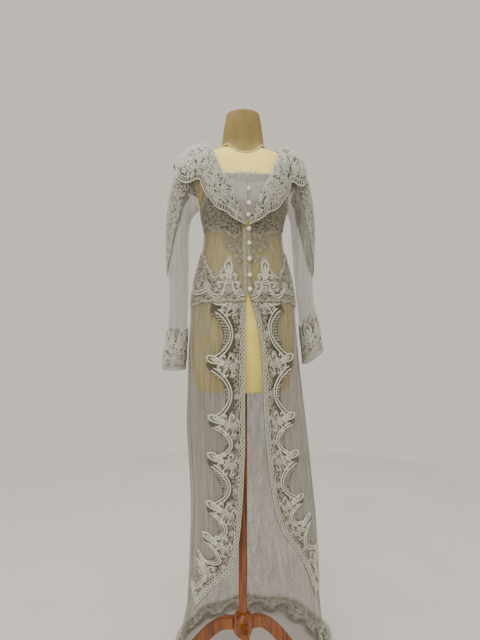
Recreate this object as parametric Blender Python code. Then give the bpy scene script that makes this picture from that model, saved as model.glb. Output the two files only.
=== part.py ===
"""Kebaya blouse with a long train, on a limbless dress form with a tripod stand.

Units are metres and +Z is up. The front of the garment faces -Y. The wearer's
right is at -X and the wearer's left at +X. Every shape is worked out round the
form's upright axis, and one empty then moves the whole model so that the middle
of its box stands over the origin, with the feet on the plane z = 0.
"""
import math
from collections import namedtuple

import bmesh
import bpy
from mathutils import Matrix, Vector

# Driving dimensions
AXIS_X = -0.0470            # the form's axis, once the model's box is centred
AXIS_Y = -0.1210
TULLE = 0.0012              # thickness of the net cloth
LACE = 0.0014               # thickness of the corded lace laid on the net
COLLAR_LACE = 0.0022        # the shawl collar is a double, beaded lace
CORD_RELIEF = 0.0010        # how far cords and rosettes stand out of the lace
SEAM_GAP = 0.0003
LACE_GAP = 0.0006           # lace to the net it is sewn on, on the net's own points
PANEL_GAP = 0.0009          # the same on the net's own facets
TRAIN_GAP = 0.0012          # the same where the train turns out on the floor
HIP_GAP = 0.0017            # the same over the hips
BUST_GAP = 0.0028           # the same over the bust
WIDE_GAP = 0.0028           # the same where the facets of the lace cross the net's
EASE = 0.0060               # garment outer face to the form, body part
BUST_EASE = 0.0021          # the same at the fullest part of the bust, where it rests
SHOULDER_EASE = 0.0110      # the same over the sloping shoulders
ROUNDNESS = 2.3             # 2 is an ellipse; more is squarer
FLOOR_CLEAR = 0.0014        # outer face of the net where the train lies

NECK_TOP = 1.777
NECK_SEAM = 1.668           # flat joint of neck block and torso
TORSO_BOTTOM = 0.930
HUB_TOP = 0.226
HUB_BOTTOM = 0.150
HUB_RADIUS = 0.030
POLE_RADIUS = 0.0135
LEG_REACH = 0.228
LEG_WIDTH = 0.024

UNDERARM = 1.475            # height of the armhole's lowest point
SHOULDER_TIP = 1.615
BUST_HEIGHT = 1.520
NECK_POINT = 1.6580         # where the shoulder seam meets the neckline
BACK_NECK = 1.6540
ARM_SWEEP = math.radians(28.0)
SIDE_HEM = 0.200            # hem height at the side seam
BUTTON_RADIUS = 0.0065
INSET_LOW = 1.428           # the inset's lower tip, in the point of the neckline
INSET_TOP = 1.563

Section = namedtuple("Section", "height half_width front back shift")

# The bare form, bottom to top
FORM_SECTIONS = (
    Section(0.930, 0.1460, 0.1000, 0.1120, 0.0),
    Section(0.990, 0.1550, 0.1060, 0.1210, 0.0),
    Section(1.060, 0.1590, 0.1090, 0.1270, 0.0),
    Section(1.130, 0.1585, 0.1100, 0.1260, 0.0),
    Section(1.200, 0.1545, 0.1090, 0.1170, 0.0),
    Section(1.260, 0.1445, 0.1050, 0.1030, 0.0),
    Section(1.320, 0.1290, 0.0980, 0.0900, 0.0),
    Section(1.370, 0.1180, 0.0910, 0.0830, 0.0),
    Section(1.410, 0.1160, 0.0900, 0.0820, 0.0),
    Section(1.450, 0.1235, 0.1010, 0.0870, 0.0),
    Section(1.490, 0.1340, 0.1170, 0.0940, 0.0),
    Section(1.520, 0.1410, 0.1210, 0.0980, 0.0),
    Section(1.555, 0.1500, 0.1140, 0.1000, 0.0),
    Section(1.590, 0.1580, 0.0980, 0.0970, 0.0),
    Section(1.615, 0.1600, 0.0830, 0.0890, 0.0),
    Section(1.632, 0.1500, 0.0710, 0.0800, 0.0),
    Section(1.645, 0.1280, 0.0630, 0.0740, 0.0),
    Section(1.656, 0.1000, 0.0580, 0.0690, 0.0),
    Section(1.664, 0.0760, 0.0565, 0.0670, 0.0),
)

# The hanging skirt below the hip, and the train, where a height under zero
# counts the way along the floor. The train is swept to the wearer's left.
SKIRT_SECTIONS = (
    Section(-0.170, 0.3250, 0.2000, 0.4700, 0.075),
    Section(-0.080, 0.2960, 0.1800, 0.4150, 0.055),
    Section(0.000, 0.2640, 0.1650, 0.3450, 0.034),
    Section(0.100, 0.2250, 0.1560, 0.2830, 0.033),
    Section(0.280, 0.2000, 0.1520, 0.2380, 0.036),
    Section(0.480, 0.1930, 0.1470, 0.2080, 0.036),
    Section(0.660, 0.1870, 0.1400, 0.1860, 0.026),
    Section(0.800, 0.1850, 0.1340, 0.1680, 0.014),
    Section(0.930, 0.1770, 0.1280, 0.1520, 0.007),
    Section(1.060, 0.1690, 0.1220, 0.1410, 0.001),
)

# Depth of the skirt's folds from ridge to trough, by height
FoldDepth = namedtuple("FoldDepth", "height depth")
FOLD_DEPTHS = (
    FoldDepth(-0.170, 0.0150),
    FoldDepth(0.000, 0.0150),
    FoldDepth(0.100, 0.0170),
    FoldDepth(0.450, 0.0130),
    FoldDepth(0.800, 0.0080),
    FoldDepth(1.000, 0.0030),
    FoldDepth(1.120, 0.0000),
)
FOLDS_ROUND = 16

# The front edge of each side, from the underarm's height down to the corner,
# as the distance out from centre front. It runs out towards the neckline on
# top, closes edge to edge under the buttons and opens below them.
EdgePoint = namedtuple("EdgePoint", "height out")
NECKLINE = (
    EdgePoint(1.416, 0.0015),
    EdgePoint(1.440, 0.0130),
    EdgePoint(1.475, 0.0265),
    EdgePoint(1.530, 0.0520),
    EdgePoint(1.565, 0.0720),
    EdgePoint(1.600, 0.0860),
    EdgePoint(1.630, 0.0950),
)
FRONT_EDGE = {
    -1: (
        EdgePoint(0.430, 0.0440),
        EdgePoint(0.490, 0.0290),
        EdgePoint(0.560, 0.0200),
        EdgePoint(0.660, 0.0130),
        EdgePoint(0.800, 0.0075),
        EdgePoint(1.100, 0.0070),
        EdgePoint(1.184, 0.0040),
        EdgePoint(1.218, 0.0015),
    ),
    1: (
        EdgePoint(0.530, 0.0960),
        EdgePoint(0.600, 0.0730),
        EdgePoint(0.690, 0.0600),
        EdgePoint(0.790, 0.0500),
        EdgePoint(0.900, 0.0440),
        EdgePoint(1.000, 0.0420),
        EdgePoint(1.080, 0.0350),
        EdgePoint(1.150, 0.0225),
        EdgePoint(1.190, 0.0085),
        EdgePoint(1.223, 0.0015),
    ),
}
# From the corner the hem runs out and down to the side seam
HemPoint = namedtuple("HemPoint", "turn height")
FRONT_HEM = {
    -1: (
        HemPoint(50.0, 0.365),
        HemPoint(68.0, 0.290),
        HemPoint(80.0, 0.238),
    ),
    1: (
        HemPoint(46.0, 0.428),
        HemPoint(62.0, 0.318),
        HemPoint(77.0, 0.248),
    ),
}
# Back hem by the angle from centre front: under zero it lies on the floor
BACK_HEM = (
    HemPoint(90.0, SIDE_HEM),
    HemPoint(100.0, 0.110),
    HemPoint(112.0, -0.020),
    HemPoint(132.0, -0.130),
    HemPoint(158.0, -0.162),
    HemPoint(180.0, -0.170),
)

# Sleeve rings from the armhole down: outer and inner edge seen from the front,
# half depth front to back
SleeveRing = namedtuple("SleeveRing", "outer_x outer_z inner_x inner_z half_depth")
SLEEVE_RINGS = {
    -1: (
        SleeveRing(0.188, 1.606, 0.1455, 1.466, 0.0640),
        SleeveRing(0.207, 1.583, 0.1520, 1.457, 0.0610),
        SleeveRing(0.220, 1.548, 0.1580, 1.447, 0.0600),
        SleeveRing(0.232, 1.480, 0.1650, 1.422, 0.0600),
        SleeveRing(0.237, 1.395, 0.1680, 1.380, 0.0595),
        SleeveRing(0.2365, 1.320, 0.1675, 1.318, 0.0570),
        SleeveRing(0.230, 1.240, 0.1685, 1.240, 0.0530),
        SleeveRing(0.229, 1.165, 0.1710, 1.165, 0.0490),
        SleeveRing(0.236, 1.095, 0.1740, 1.095, 0.0470),
        SleeveRing(0.243, 1.035, 0.1770, 1.035, 0.0460),
        SleeveRing(0.248, 0.985, 0.1800, 0.985, 0.0460),
    ),
    1: (
        SleeveRing(0.186, 1.606, 0.1445, 1.466, 0.0640),
        SleeveRing(0.200, 1.581, 0.1480, 1.457, 0.0610),
        SleeveRing(0.210, 1.546, 0.1505, 1.446, 0.0600),
        SleeveRing(0.220, 1.480, 0.1530, 1.422, 0.0600),
        SleeveRing(0.2245, 1.395, 0.1560, 1.380, 0.0595),
        SleeveRing(0.222, 1.320, 0.1610, 1.318, 0.0570),
        SleeveRing(0.220, 1.240, 0.1680, 1.240, 0.0530),
        SleeveRing(0.2285, 1.170, 0.1755, 1.165, 0.0490),
        SleeveRing(0.2405, 1.112, 0.1840, 1.095, 0.0470),
        SleeveRing(0.248, 1.072, 0.1890, 1.042, 0.0460),
        SleeveRing(0.252, 1.043, 0.1930, 0.997, 0.0460),
    ),
}

# Shawl collar from centre front round to centre back: where it is sewn down (at
# the neckline's own angle where turn is None), its outer edge, how far it stands
# up before it rolls over, and how far its fall is crowned
CollarStation = namedtuple("CollarStation", "height turn outer stand crown")
COLLAR_STATIONS = (
    CollarStation(1.426, None, (0.0060, -0.1110, 1.413), 0.004, 0.002),
    CollarStation(1.462, None, (0.0450, -0.1150, 1.432), 0.009, 0.004),
    CollarStation(1.506, None, (0.0820, -0.1110, 1.456), 0.015, 0.006),
    CollarStation(1.543, None, (0.1090, -0.1040, 1.480), 0.020, 0.008),
    CollarStation(1.576, None, (0.1300, -0.0960, 1.521), 0.024, 0.010),
    CollarStation(1.602, None, (0.1450, -0.0910, 1.545), 0.028, 0.014),
    CollarStation(1.626, None, (0.1710, -0.0820, 1.533), 0.032, 0.018),
    CollarStation(1.651, 70.0, (0.1970, -0.0620, 1.556), 0.036, 0.022),
    CollarStation(1.658, 90.0, (0.2090, -0.0120, 1.611), 0.038, 0.020),
    CollarStation(1.658, 113.0, (0.2040, 0.0360, 1.598), 0.038, 0.020),
    CollarStation(1.656, 138.0, (0.1740, 0.0860, 1.556), 0.038, 0.018),
    CollarStation(1.654, 160.0, (0.1000, 0.1100, 1.526), 0.038, 0.014),
    CollarStation(1.654, 180.0, (0.00015, 0.1200, 1.512), 0.038, 0.012),
)
COLLAR_REACH = {-1: 1.03, 1: 0.955}   # it is draped a little to the wearer's right
COLLAR_STEPS = 24
COLLAR_COLUMNS = (0.0, 0.13, 0.28, 0.46, 0.66, 0.84, 1.0)
COLLAR_SEAT = 0.0019        # middle of the collar's thickness above the net, where sewn
COLLAR_SCALLOPS = 8
COLLAR_SCALLOP_DEPTH = 0.006

# Width of the front border lace by the way along the edge, from the hip to the
# hem's end: wide at each fleur, narrow at the middle of each bay
BorderWidth = namedtuple("BorderWidth", "along width")
BORDER_WIDTHS = {
    -1: (
        BorderWidth(0.000, 0.108),
        BorderWidth(0.035, 0.112),
        BorderWidth(0.059, 0.084),
        BorderWidth(0.106, 0.072),
        BorderWidth(0.159, 0.086),
        BorderWidth(0.197, 0.122),
        BorderWidth(0.227, 0.098),
        BorderWidth(0.253, 0.070),
        BorderWidth(0.307, 0.064),
        BorderWidth(0.349, 0.080),
        BorderWidth(0.378, 0.116),
        BorderWidth(0.406, 0.080),
        BorderWidth(0.441, 0.062),
        BorderWidth(0.476, 0.082),
        BorderWidth(0.500, 0.118),
        BorderWidth(0.538, 0.090),
        BorderWidth(0.584, 0.066),
        BorderWidth(0.625, 0.082),
        BorderWidth(0.650, 0.114),
        BorderWidth(0.677, 0.090),
        BorderWidth(0.709, 0.068),
        BorderWidth(0.737, 0.082),
        BorderWidth(0.757, 0.118),
        BorderWidth(0.784, 0.086),
        BorderWidth(0.821, 0.066),
        BorderWidth(0.859, 0.080),
        BorderWidth(0.882, 0.112),
        BorderWidth(0.914, 0.080),
        BorderWidth(0.955, 0.062),
        BorderWidth(1.000, 0.058),
    ),
}
BORDER_WIDTHS[1] = tuple(
    BorderWidth(row.along, 0.93 * row.width) for row in BORDER_WIDTHS[-1]
)
BORDER_TOP = 1.186
BORDER_STEPS = 52
BORDER_COLUMNS = (0.0, 0.17, 0.36, 0.55, 0.72, 0.87, 1.0)
BORDER_RELIEF = (1.0, 0.2, 1.0, 0.2, 1.0, 0.2, 1.0)

# Outlines of the other lace pieces, by the share of the way across the panel
# from centre front to the side seam, or from side seam to side seam
LaceSpan = namedtuple("LaceSpan", "across low high")
HIP_LACE_SPAN = (
    LaceSpan(0.06, 1.190, 1.208),
    LaceSpan(0.20, 1.190, 1.262),
    LaceSpan(0.29, 1.190, 1.322),
    LaceSpan(0.38, 1.190, 1.284),
    LaceSpan(0.50, 1.190, 1.262),
    LaceSpan(0.62, 1.188, 1.296),
    LaceSpan(0.80, 1.180, 1.334),
    LaceSpan(0.99, 1.176, 1.340),
)
BODICE_LACE_SPAN = (
    LaceSpan(0.10, 1.335, 1.430),
    LaceSpan(0.20, 1.322, 1.446),
    LaceSpan(0.34, 1.350, 1.480),
    LaceSpan(0.48, 1.378, 1.512),
    LaceSpan(0.62, 1.400, 1.524),
    LaceSpan(0.76, 1.420, 1.502),
    LaceSpan(0.88, 1.412, 1.466),
    LaceSpan(0.99, 1.414, 1.456),
)
BACK_BODICE_SPAN = (
    LaceSpan(0.01, 1.414, 1.452),
    LaceSpan(0.10, 1.406, 1.456),
    LaceSpan(0.22, 1.420, 1.492),
    LaceSpan(0.36, 1.396, 1.530),
    LaceSpan(0.50, 1.360, 1.540),
    LaceSpan(0.64, 1.396, 1.530),
    LaceSpan(0.78, 1.420, 1.492),
    LaceSpan(0.90, 1.406, 1.456),
    LaceSpan(0.99, 1.414, 1.452),
)
BACK_HIP_SPAN = (
    LaceSpan(0.01, 1.176, 1.340),
    LaceSpan(0.16, 1.190, 1.318),
    LaceSpan(0.30, 1.168, 1.296),
    LaceSpan(0.50, 1.130, 1.330),
    LaceSpan(0.70, 1.168, 1.296),
    LaceSpan(0.84, 1.190, 1.318),
    LaceSpan(0.99, 1.176, 1.340),
)

# Rows of each panel, as shares of the way from the hem to the underarm. They lie
# closer where the train turns on the floor, and from the hip up to the bust.
BACK_TRAIN_ROWS = (0.0, 0.026, 0.055, 0.085, 0.112, 0.140, 0.172, 0.215, 0.270)
BACK_SKIRT_ROWS = (0.36, 0.46, 0.56, 0.64)
FRONT_SKIRT_ROWS = (0.0, 0.09, 0.18, 0.27, 0.36, 0.45, 0.54, 0.63)
WAIST_ROWS = (0.70, 0.76, 0.81, 0.85, 0.885, 0.915, 0.943, 0.971, 1.0)
UPPER_STEPS = 8
BACK_COLUMNS = 24
FRONT_COLUMNS = 11

ButtonPlace = namedtuple("ButtonPlace", "height on_inset")
BUTTON_PLACES = (
    ButtonPlace(1.512, True),
    ButtonPlace(1.475, True),
    ButtonPlace(1.444, True),
    ButtonPlace(1.402, False),
    ButtonPlace(1.359, False),
    ButtonPlace(1.312, False),
    ButtonPlace(1.265, False),
    ButtonPlace(1.224, False),
)


class Curve:
    """A smooth curve without overshoot through rising positions and their values."""

    def __init__(self, positions, values):
        self.xs = [float(position) for position in positions]
        self.ys = [float(value) for value in values]
        count = len(self.xs)
        secants = [
            (self.ys[i + 1] - self.ys[i]) / (self.xs[i + 1] - self.xs[i])
            for i in range(count - 1)
        ]
        self.slopes = [secants[0]]
        for before, after in zip(secants, secants[1:]):
            same_way = before * after > 0.0
            slope = 2.0 * before * after / (before + after) if same_way else 0.0
            self.slopes.append(slope)
        self.slopes.append(secants[-1])

    def __call__(self, x):
        if x <= self.xs[0]:
            return self.ys[0]
        if x >= self.xs[-1]:
            return self.ys[-1]
        i = 0
        while self.xs[i + 1] < x:
            i += 1
        width = self.xs[i + 1] - self.xs[i]
        t = (x - self.xs[i]) / width
        from_start = (1.0 + 2.0 * t) * (1.0 - t) ** 2 * self.ys[i]
        from_end = t * t * (3.0 - 2.0 * t) * self.ys[i + 1]
        start_slope = t * (1.0 - t) ** 2 * width * self.slopes[i]
        end_slope = t * t * (t - 1.0) * width * self.slopes[i + 1]
        return from_start + from_end + start_slope + end_slope


def lerp(a, b, t):
    return a + (b - a) * t


def clamp01(value):
    return max(0.0, min(1.0, value))


def smoothstep(low, high, value):
    t = clamp01((value - low) / (high - low))
    return t * t * (3.0 - 2.0 * t)


# The garment's sections follow the form with ease, then hang free below the hip
def eased(row):
    ease = SHOULDER_EASE if row.height > 1.60 else EASE
    bust = BUST_EASE if abs(row.height - BUST_HEIGHT) < 0.005 else ease
    return Section(row.height, row.half_width + ease, row.front + bust, row.back + ease, 0.0)


GARMENT_SECTIONS = SKIRT_SECTIONS + tuple(
    eased(row) for row in FORM_SECTIONS if row.height > 1.1
)


class Body:
    """A stack of rounded sections, read by the angle from centre front and height."""

    def __init__(self, sections):
        heights = [row.height for row in sections]
        self.half_width = Curve(heights, [row.half_width for row in sections])
        self.front = Curve(heights, [row.front for row in sections])
        self.back = Curve(heights, [row.back for row in sections])
        self.shift = Curve(heights, [row.shift for row in sections])

    def radius(self, turn, height):
        side = abs(math.sin(turn)) / self.half_width(height)
        depth = self.front if math.cos(turn) > 0.0 else self.back
        along = abs(math.cos(turn)) / depth(height)
        return (side ** ROUNDNESS + along ** ROUNDNESS) ** (-1.0 / ROUNDNESS)

    def turn_at(self, x, height):
        """Angle from centre front of the front point that lies x from the middle."""
        offset = x - self.shift(height)
        share = min(0.999, abs(offset) / self.half_width(height))
        depth = self.front(height) * (1.0 - share ** ROUNDNESS) ** (1.0 / ROUNDNESS)
        return math.atan2(offset, depth)


FORM = Body(FORM_SECTIONS)
GARMENT = Body(GARMENT_SECTIONS)
FOLD_DEPTH = Curve([row.height for row in FOLD_DEPTHS], [row.depth for row in FOLD_DEPTHS])


def fold_wave(turn):
    """Uneven folds round the skirt, from 0 in a trough to 1 on a ridge."""
    main = math.cos(FOLDS_ROUND * turn + 0.9 * math.sin(3.0 * turn + 1.1))
    slow = math.sin(5.0 * turn + 0.6)
    return clamp01(0.5 + 0.40 * main + 0.12 * slow)


def fold_mask(turn):
    """The stiff lace bands keep the fronts smooth; folds start beyond them."""
    away = abs(math.atan2(math.sin(turn), math.cos(turn)))
    return smoothstep(math.radians(76.0), math.radians(100.0), away)


def cloth_point(turn, height):
    """Point on the outer face of the net cloth."""
    radius = GARMENT.radius(turn, height)
    outward = Vector((math.sin(turn), -math.cos(turn), 0.0))
    level = 0.5 * (height + math.sqrt(height * height + 0.0004)) + FLOOR_CLEAR
    point = outward * radius
    point.x += GARMENT.shift(height)
    point.z = max(height, level) if height > 0.3 else level
    lying = 1.0 - smoothstep(-0.03, 0.07, height)
    fold = FOLD_DEPTH(height) * fold_wave(turn) * fold_mask(turn)
    rise = outward.lerp(Vector((0.0, 0.0, 1.0)), lying).normalized()
    return point + rise * fold


def cloth_normal(turn, height):
    """Outward direction of the net cloth."""
    step = 0.004
    across = cloth_point(turn + step, height) - cloth_point(turn - step, height)
    up = cloth_point(turn, height + step) - cloth_point(turn, height - step)
    return across.cross(up).normalized()


def cloth_site(turn, height):
    return cloth_point(turn, height), cloth_normal(turn, height)


def coons(bottom, top, left, right, us, vs):
    """(turn, height) pairs of a four-sided patch, as rows of columns.

    Each side is a function of its share of the way and gives such a pair.
    """
    rows = []
    for v in vs:
        row = []
        for u in us:
            pair = []
            for k in range(2):
                ruled_v = lerp(bottom(u)[k], top(u)[k], v)
                ruled_u = lerp(left(v)[k], right(v)[k], u)
                corners = lerp(
                    lerp(bottom(0.0)[k], bottom(1.0)[k], u),
                    lerp(top(0.0)[k], top(1.0)[k], u),
                    v,
                )
                pair.append(ruled_v + ruled_u - corners)
            row.append(tuple(pair))
        rows.append(row)
    return rows


def even(count):
    return [i / count for i in range(count + 1)]


# Solids


def add_mesh(name, points, faces, colour, roughness, metallic=0.0):
    mesh = bpy.data.meshes.new(name)
    mesh.from_pydata([tuple(point) for point in points], [], faces)
    mesh.update()
    made = bmesh.new()
    made.from_mesh(mesh)
    bmesh.ops.recalc_face_normals(made, faces=made.faces)
    if made.calc_volume(signed=True) < 0.0:
        bmesh.ops.reverse_faces(made, faces=made.faces)
    made.to_mesh(mesh)
    made.free()
    mesh.shade_smooth()
    mesh.set_sharp_from_angle(angle=math.radians(50.0))
    mesh.materials.append(material(name + "_look", colour, roughness, metallic))
    shape = bpy.data.objects.new(name, mesh)
    bpy.context.scene.collection.objects.link(shape)
    return shape


def material(name, colour, roughness, metallic):
    look = bpy.data.materials.new(name)
    look.use_nodes = True
    shader = look.node_tree.nodes["Principled BSDF"]
    shader.inputs["Base Color"].default_value = (*colour, 1.0)
    shader.inputs["Roughness"].default_value = roughness
    shader.inputs["Metallic"].default_value = metallic
    return look


def sheet_solid(name, sites, inner, outer, look):
    """Closed wall through rows of (point, normal) sites.

    inner and outer give each face's distance out from the site's point, as
    functions of the row and the column. Both faces share one set of diagonals.
    """
    rows = len(sites)
    columns = len(sites[0])
    points = []
    for offset in (inner, outer):
        for i, row in enumerate(sites):
            for j, (point, normal) in enumerate(row):
                points.append(point + normal * offset(i, j))
    layer = rows * columns

    def index(i, j, face):
        return face * layer + i * columns + j

    faces = []
    for i in range(rows - 1):
        for j in range(columns - 1):
            a, b = index(i, j, 1), index(i, j + 1, 1)
            c, d = index(i + 1, j + 1, 1), index(i + 1, j, 1)
            faces += [(a, b, c), (a, c, d)]
            faces += [(c - layer, b - layer, a - layer), (d - layer, c - layer, a - layer)]
    rim = [(0, j) for j in range(columns)]
    rim += [(i, columns - 1) for i in range(1, rows)]
    rim += [(rows - 1, j) for j in range(columns - 2, -1, -1)]
    rim += [(i, 0) for i in range(rows - 2, 0, -1)]
    for here, there in zip(rim, rim[1:] + rim[:1]):
        a, b = index(*here, 0), index(*there, 0)
        c, d = index(*there, 1), index(*here, 1)
        faces += [(a, b, c), (a, c, d)]
    return add_mesh(name, points, faces, *look)


def tube_solid(name, rings, inner, outer, look):
    """Closed wall of an open-ended tube through rings of (point, normal) sites."""
    count = len(rings)
    sides = len(rings[0])
    points = []
    for offset in (inner, outer):
        for ring in rings:
            points += [point + normal * offset for point, normal in ring]
    layer = count * sides

    def index(i, j, face):
        return face * layer + i * sides + j % sides

    faces = []
    for i in range(count - 1):
        for j in range(sides):
            a, b = index(i, j, 1), index(i, j + 1, 1)
            c, d = index(i + 1, j + 1, 1), index(i + 1, j, 1)
            faces += [(a, b, c), (a, c, d)]
            faces += [(c - layer, b - layer, a - layer), (d - layer, c - layer, a - layer)]
    for i in (0, count - 1):
        for j in range(sides):
            a, b = index(i, j, 0), index(i, j + 1, 0)
            c, d = index(i, j + 1, 1), index(i, j, 1)
            loop = [(a, b, c), (a, c, d)]
            faces += loop if i == 0 else [tuple(reversed(face)) for face in loop]
    return add_mesh(name, points, faces, *look)


def stacked_solid(name, rings, look):
    """Closed solid through rings of points, with flat ends."""
    sides = len(rings[0])
    points = [point for ring in rings for point in ring]
    faces = [tuple(range(sides))]
    for i in range(len(rings) - 1):
        for j in range(sides):
            a, b = i * sides + j, i * sides + (j + 1) % sides
            faces.append((a, b, b + sides, a + sides))
    top = (len(rings) - 1) * sides
    faces.append(tuple(range(top + sides - 1, top - 1, -1)))
    return add_mesh(name, points, faces, *look)


NET_LOOK = ((0.62, 0.60, 0.55), 0.75)
LACE_LOOK = ((0.78, 0.76, 0.70), 0.65)
INSET_LOOK = ((0.60, 0.58, 0.58), 0.75)
FORM_LOOK = ((0.83, 0.74, 0.47), 0.80)
WOOD_LOOK = ((0.36, 0.13, 0.03), 0.40)
PEARL_LOOK = ((0.92, 0.90, 0.85), 0.20)


# Dress form and stand


def turned_rings(profile, sides):
    """Rings of a turned piece from (height, half width, half depth, centre y) rows."""
    rings = []
    for height, half_width, half_depth, middle in profile:
        ring = []
        for k in range(sides):
            angle = 2.0 * math.pi * k / sides
            x = half_width * math.sin(angle)
            y = middle - half_depth * math.cos(angle)
            ring.append(Vector((x, y, height)))
        rings.append(ring)
    return rings


def build_torso():
    sides = 22
    rings = []
    heights = [0.930, 0.990, 1.070, 1.150, 1.220, 1.285, 1.340, 1.380, 1.415]
    heights += [1.450, 1.485, 1.520, 1.555, 1.588, 1.612, 1.631, 1.645, 1.656]
    for height in heights:
        ring = []
        for k in range(sides):
            turn = 2.0 * math.pi * k / sides
            out = Vector((math.sin(turn), -math.cos(turn), 0.0))
            ring.append(out * FORM.radius(turn, height) + Vector((0.0, 0.0, height)))
        rings.append(ring)
    rounded_edge = [point.copy() for point in rings[0]]
    for point in rounded_edge:
        point.x *= 0.93
        point.y *= 0.93
        point.z -= 0.008
    collar = turned_rings([(NECK_SEAM - SEAM_GAP, 0.0700, 0.0600, 0.005)], sides)[0]
    return stacked_solid("form_torso", [rounded_edge] + rings + [collar], FORM_LOOK)


def build_neck():
    profile = [
        (NECK_SEAM, 0.0680, 0.0585, 0.0050),
        (NECK_SEAM + 0.020, 0.0655, 0.0575, 0.0045),
        (NECK_SEAM + 0.070, 0.0590, 0.0550, 0.0030),
        (NECK_TOP - 0.008, 0.0520, 0.0515, 0.0020),
        (NECK_TOP, 0.0475, 0.0470, 0.0020),
    ]
    return stacked_solid("neck_block", turned_rings(profile, 24), FORM_LOOK)


def build_pole_and_hub():
    bottom = HUB_TOP + SEAM_GAP
    top = TORSO_BOTTOM - 0.008 - SEAM_GAP
    pole = [(z, POLE_RADIUS, POLE_RADIUS, 0.0) for z in (bottom, top)]
    stacked_solid("stand_pole", turned_rings(pole, 16), WOOD_LOOK)
    hub = [
        (HUB_BOTTOM, 0.55 * HUB_RADIUS),
        (HUB_BOTTOM + 0.012, 0.90 * HUB_RADIUS),
        (HUB_BOTTOM + 0.022, HUB_RADIUS),
        (HUB_TOP - 0.018, HUB_RADIUS),
        (HUB_TOP - 0.006, 0.86 * HUB_RADIUS),
        (HUB_TOP, 0.62 * HUB_RADIUS),
    ]
    rings = turned_rings([(z, radius, radius, 0.0) for z, radius in hub], 18)
    stacked_solid("stand_hub", rings, WOOD_LOOK)


def build_legs():
    """Three flat-sided wooden legs that curve out of the hub down to flat feet."""
    start = (HUB_RADIUS + SEAM_GAP) / LEG_REACH
    top_line = ((start, 0.204), (0.30, 0.196), (0.50, 0.166), (0.72, 0.112),
                (0.90, 0.056), (0.97, 0.030), (1.0, 0.018))
    low_line = ((start, 0.166), (0.27, 0.158), (0.43, 0.128), (0.62, 0.078),
                (0.80, 0.026), (0.915, 0.000), (1.0, 0.000))
    for number, heading in enumerate((0.0, 120.0, 240.0), 1):
        place = Matrix.Rotation(math.radians(heading), 4, "Z")
        rings = []
        for (top_share, high), (low_share, low) in zip(top_line, low_line):
            half = 0.5 * LEG_WIDTH
            reach, low_reach = top_share * LEG_REACH, low_share * LEG_REACH
            corners = ((-half, low_reach, low), (half, low_reach, low),
                       (half, reach, high), (-half, reach, high))
            rings.append([place @ Vector((x, -y, z)) for x, y, z in corners])
        stacked_solid("stand_leg_%d" % number, rings, WOOD_LOOK)


# Panels of net cloth


def neckline_turn(height):
    rows = NECKLINE
    out = Curve([row.height for row in rows], [row.out for row in rows])(height)
    return GARMENT.turn_at(out, height)


def edge_turn(side, height):
    """Unsigned angle of a front edge at a height, from the corner to the neckline."""
    if height >= NECKLINE[0].height:
        return neckline_turn(height)
    rows = FRONT_EDGE[side] + NECKLINE[:1]
    out = Curve([row.height for row in rows], [row.out for row in rows])(height)
    return side * GARMENT.turn_at(side * out, height)


def armhole(share, front):
    """Armhole from the underarm (0) to the shoulder tip (1), on one side of the arm."""
    middle = 0.5 * (UNDERARM + SHOULDER_TIP)
    half = 0.5 * (SHOULDER_TIP - UNDERARM)
    height = middle - half * math.cos(math.pi * share)
    sweep = ARM_SWEEP * math.sin(math.pi * share)
    return 0.5 * math.pi + (-sweep if front else sweep), height


def neck_edge(share):
    """Front neckline from the underarm's height (0) to the neck point (1)."""
    slope_end = 0.62
    bend = 1.640
    if share < slope_end:
        height = lerp(UNDERARM, bend, share / slope_end)
        return neckline_turn(height), height
    over = (share - slope_end) / (1.0 - slope_end)
    turn = lerp(neckline_turn(bend), 0.5 * math.pi, over)
    return turn, lerp(bend, NECK_POINT, math.sin(0.5 * math.pi * over))


def front_hem(side, share):
    corner = FRONT_EDGE[side][0].height
    rows = FRONT_HEM[side]
    turns = [math.degrees(edge_turn(side, corner))] + [row.turn for row in rows] + [90.0]
    heights = [corner] + [row.height for row in rows] + [SIDE_HEM]
    turn = lerp(turns[0], 90.0, share)
    return math.radians(turn), Curve(turns, heights)(turn)


def back_hem_height(turn):
    away = 180.0 - abs(180.0 - math.degrees(turn))
    return Curve([row.turn for row in BACK_HEM], [row.height for row in BACK_HEM])(away)


def front_grid(side):
    """(turn, height) rows of a front, from its hem to the shoulder seam."""
    corner = FRONT_EDGE[side][0].height
    us = even(FRONT_COLUMNS)
    underarm_turn = edge_turn(side, UNDERARM)

    def left(v):
        height = lerp(corner, UNDERARM, v)
        return edge_turn(side, height), height

    def right(v):
        return 0.5 * math.pi, lerp(SIDE_HEM, UNDERARM, v)

    def middle(u):
        return lerp(underarm_turn, 0.5 * math.pi, u), UNDERARM

    def shoulder(u):
        return 0.5 * math.pi, lerp(NECK_POINT, SHOULDER_TIP, u)

    lower = coons(lambda u: front_hem(side, u), middle, left, right,
                  us, FRONT_SKIRT_ROWS + WAIST_ROWS)
    upper = coons(middle, shoulder, neck_edge, lambda v: armhole(v, True),
                  us, even(UPPER_STEPS))
    return lower + upper[1:]


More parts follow.
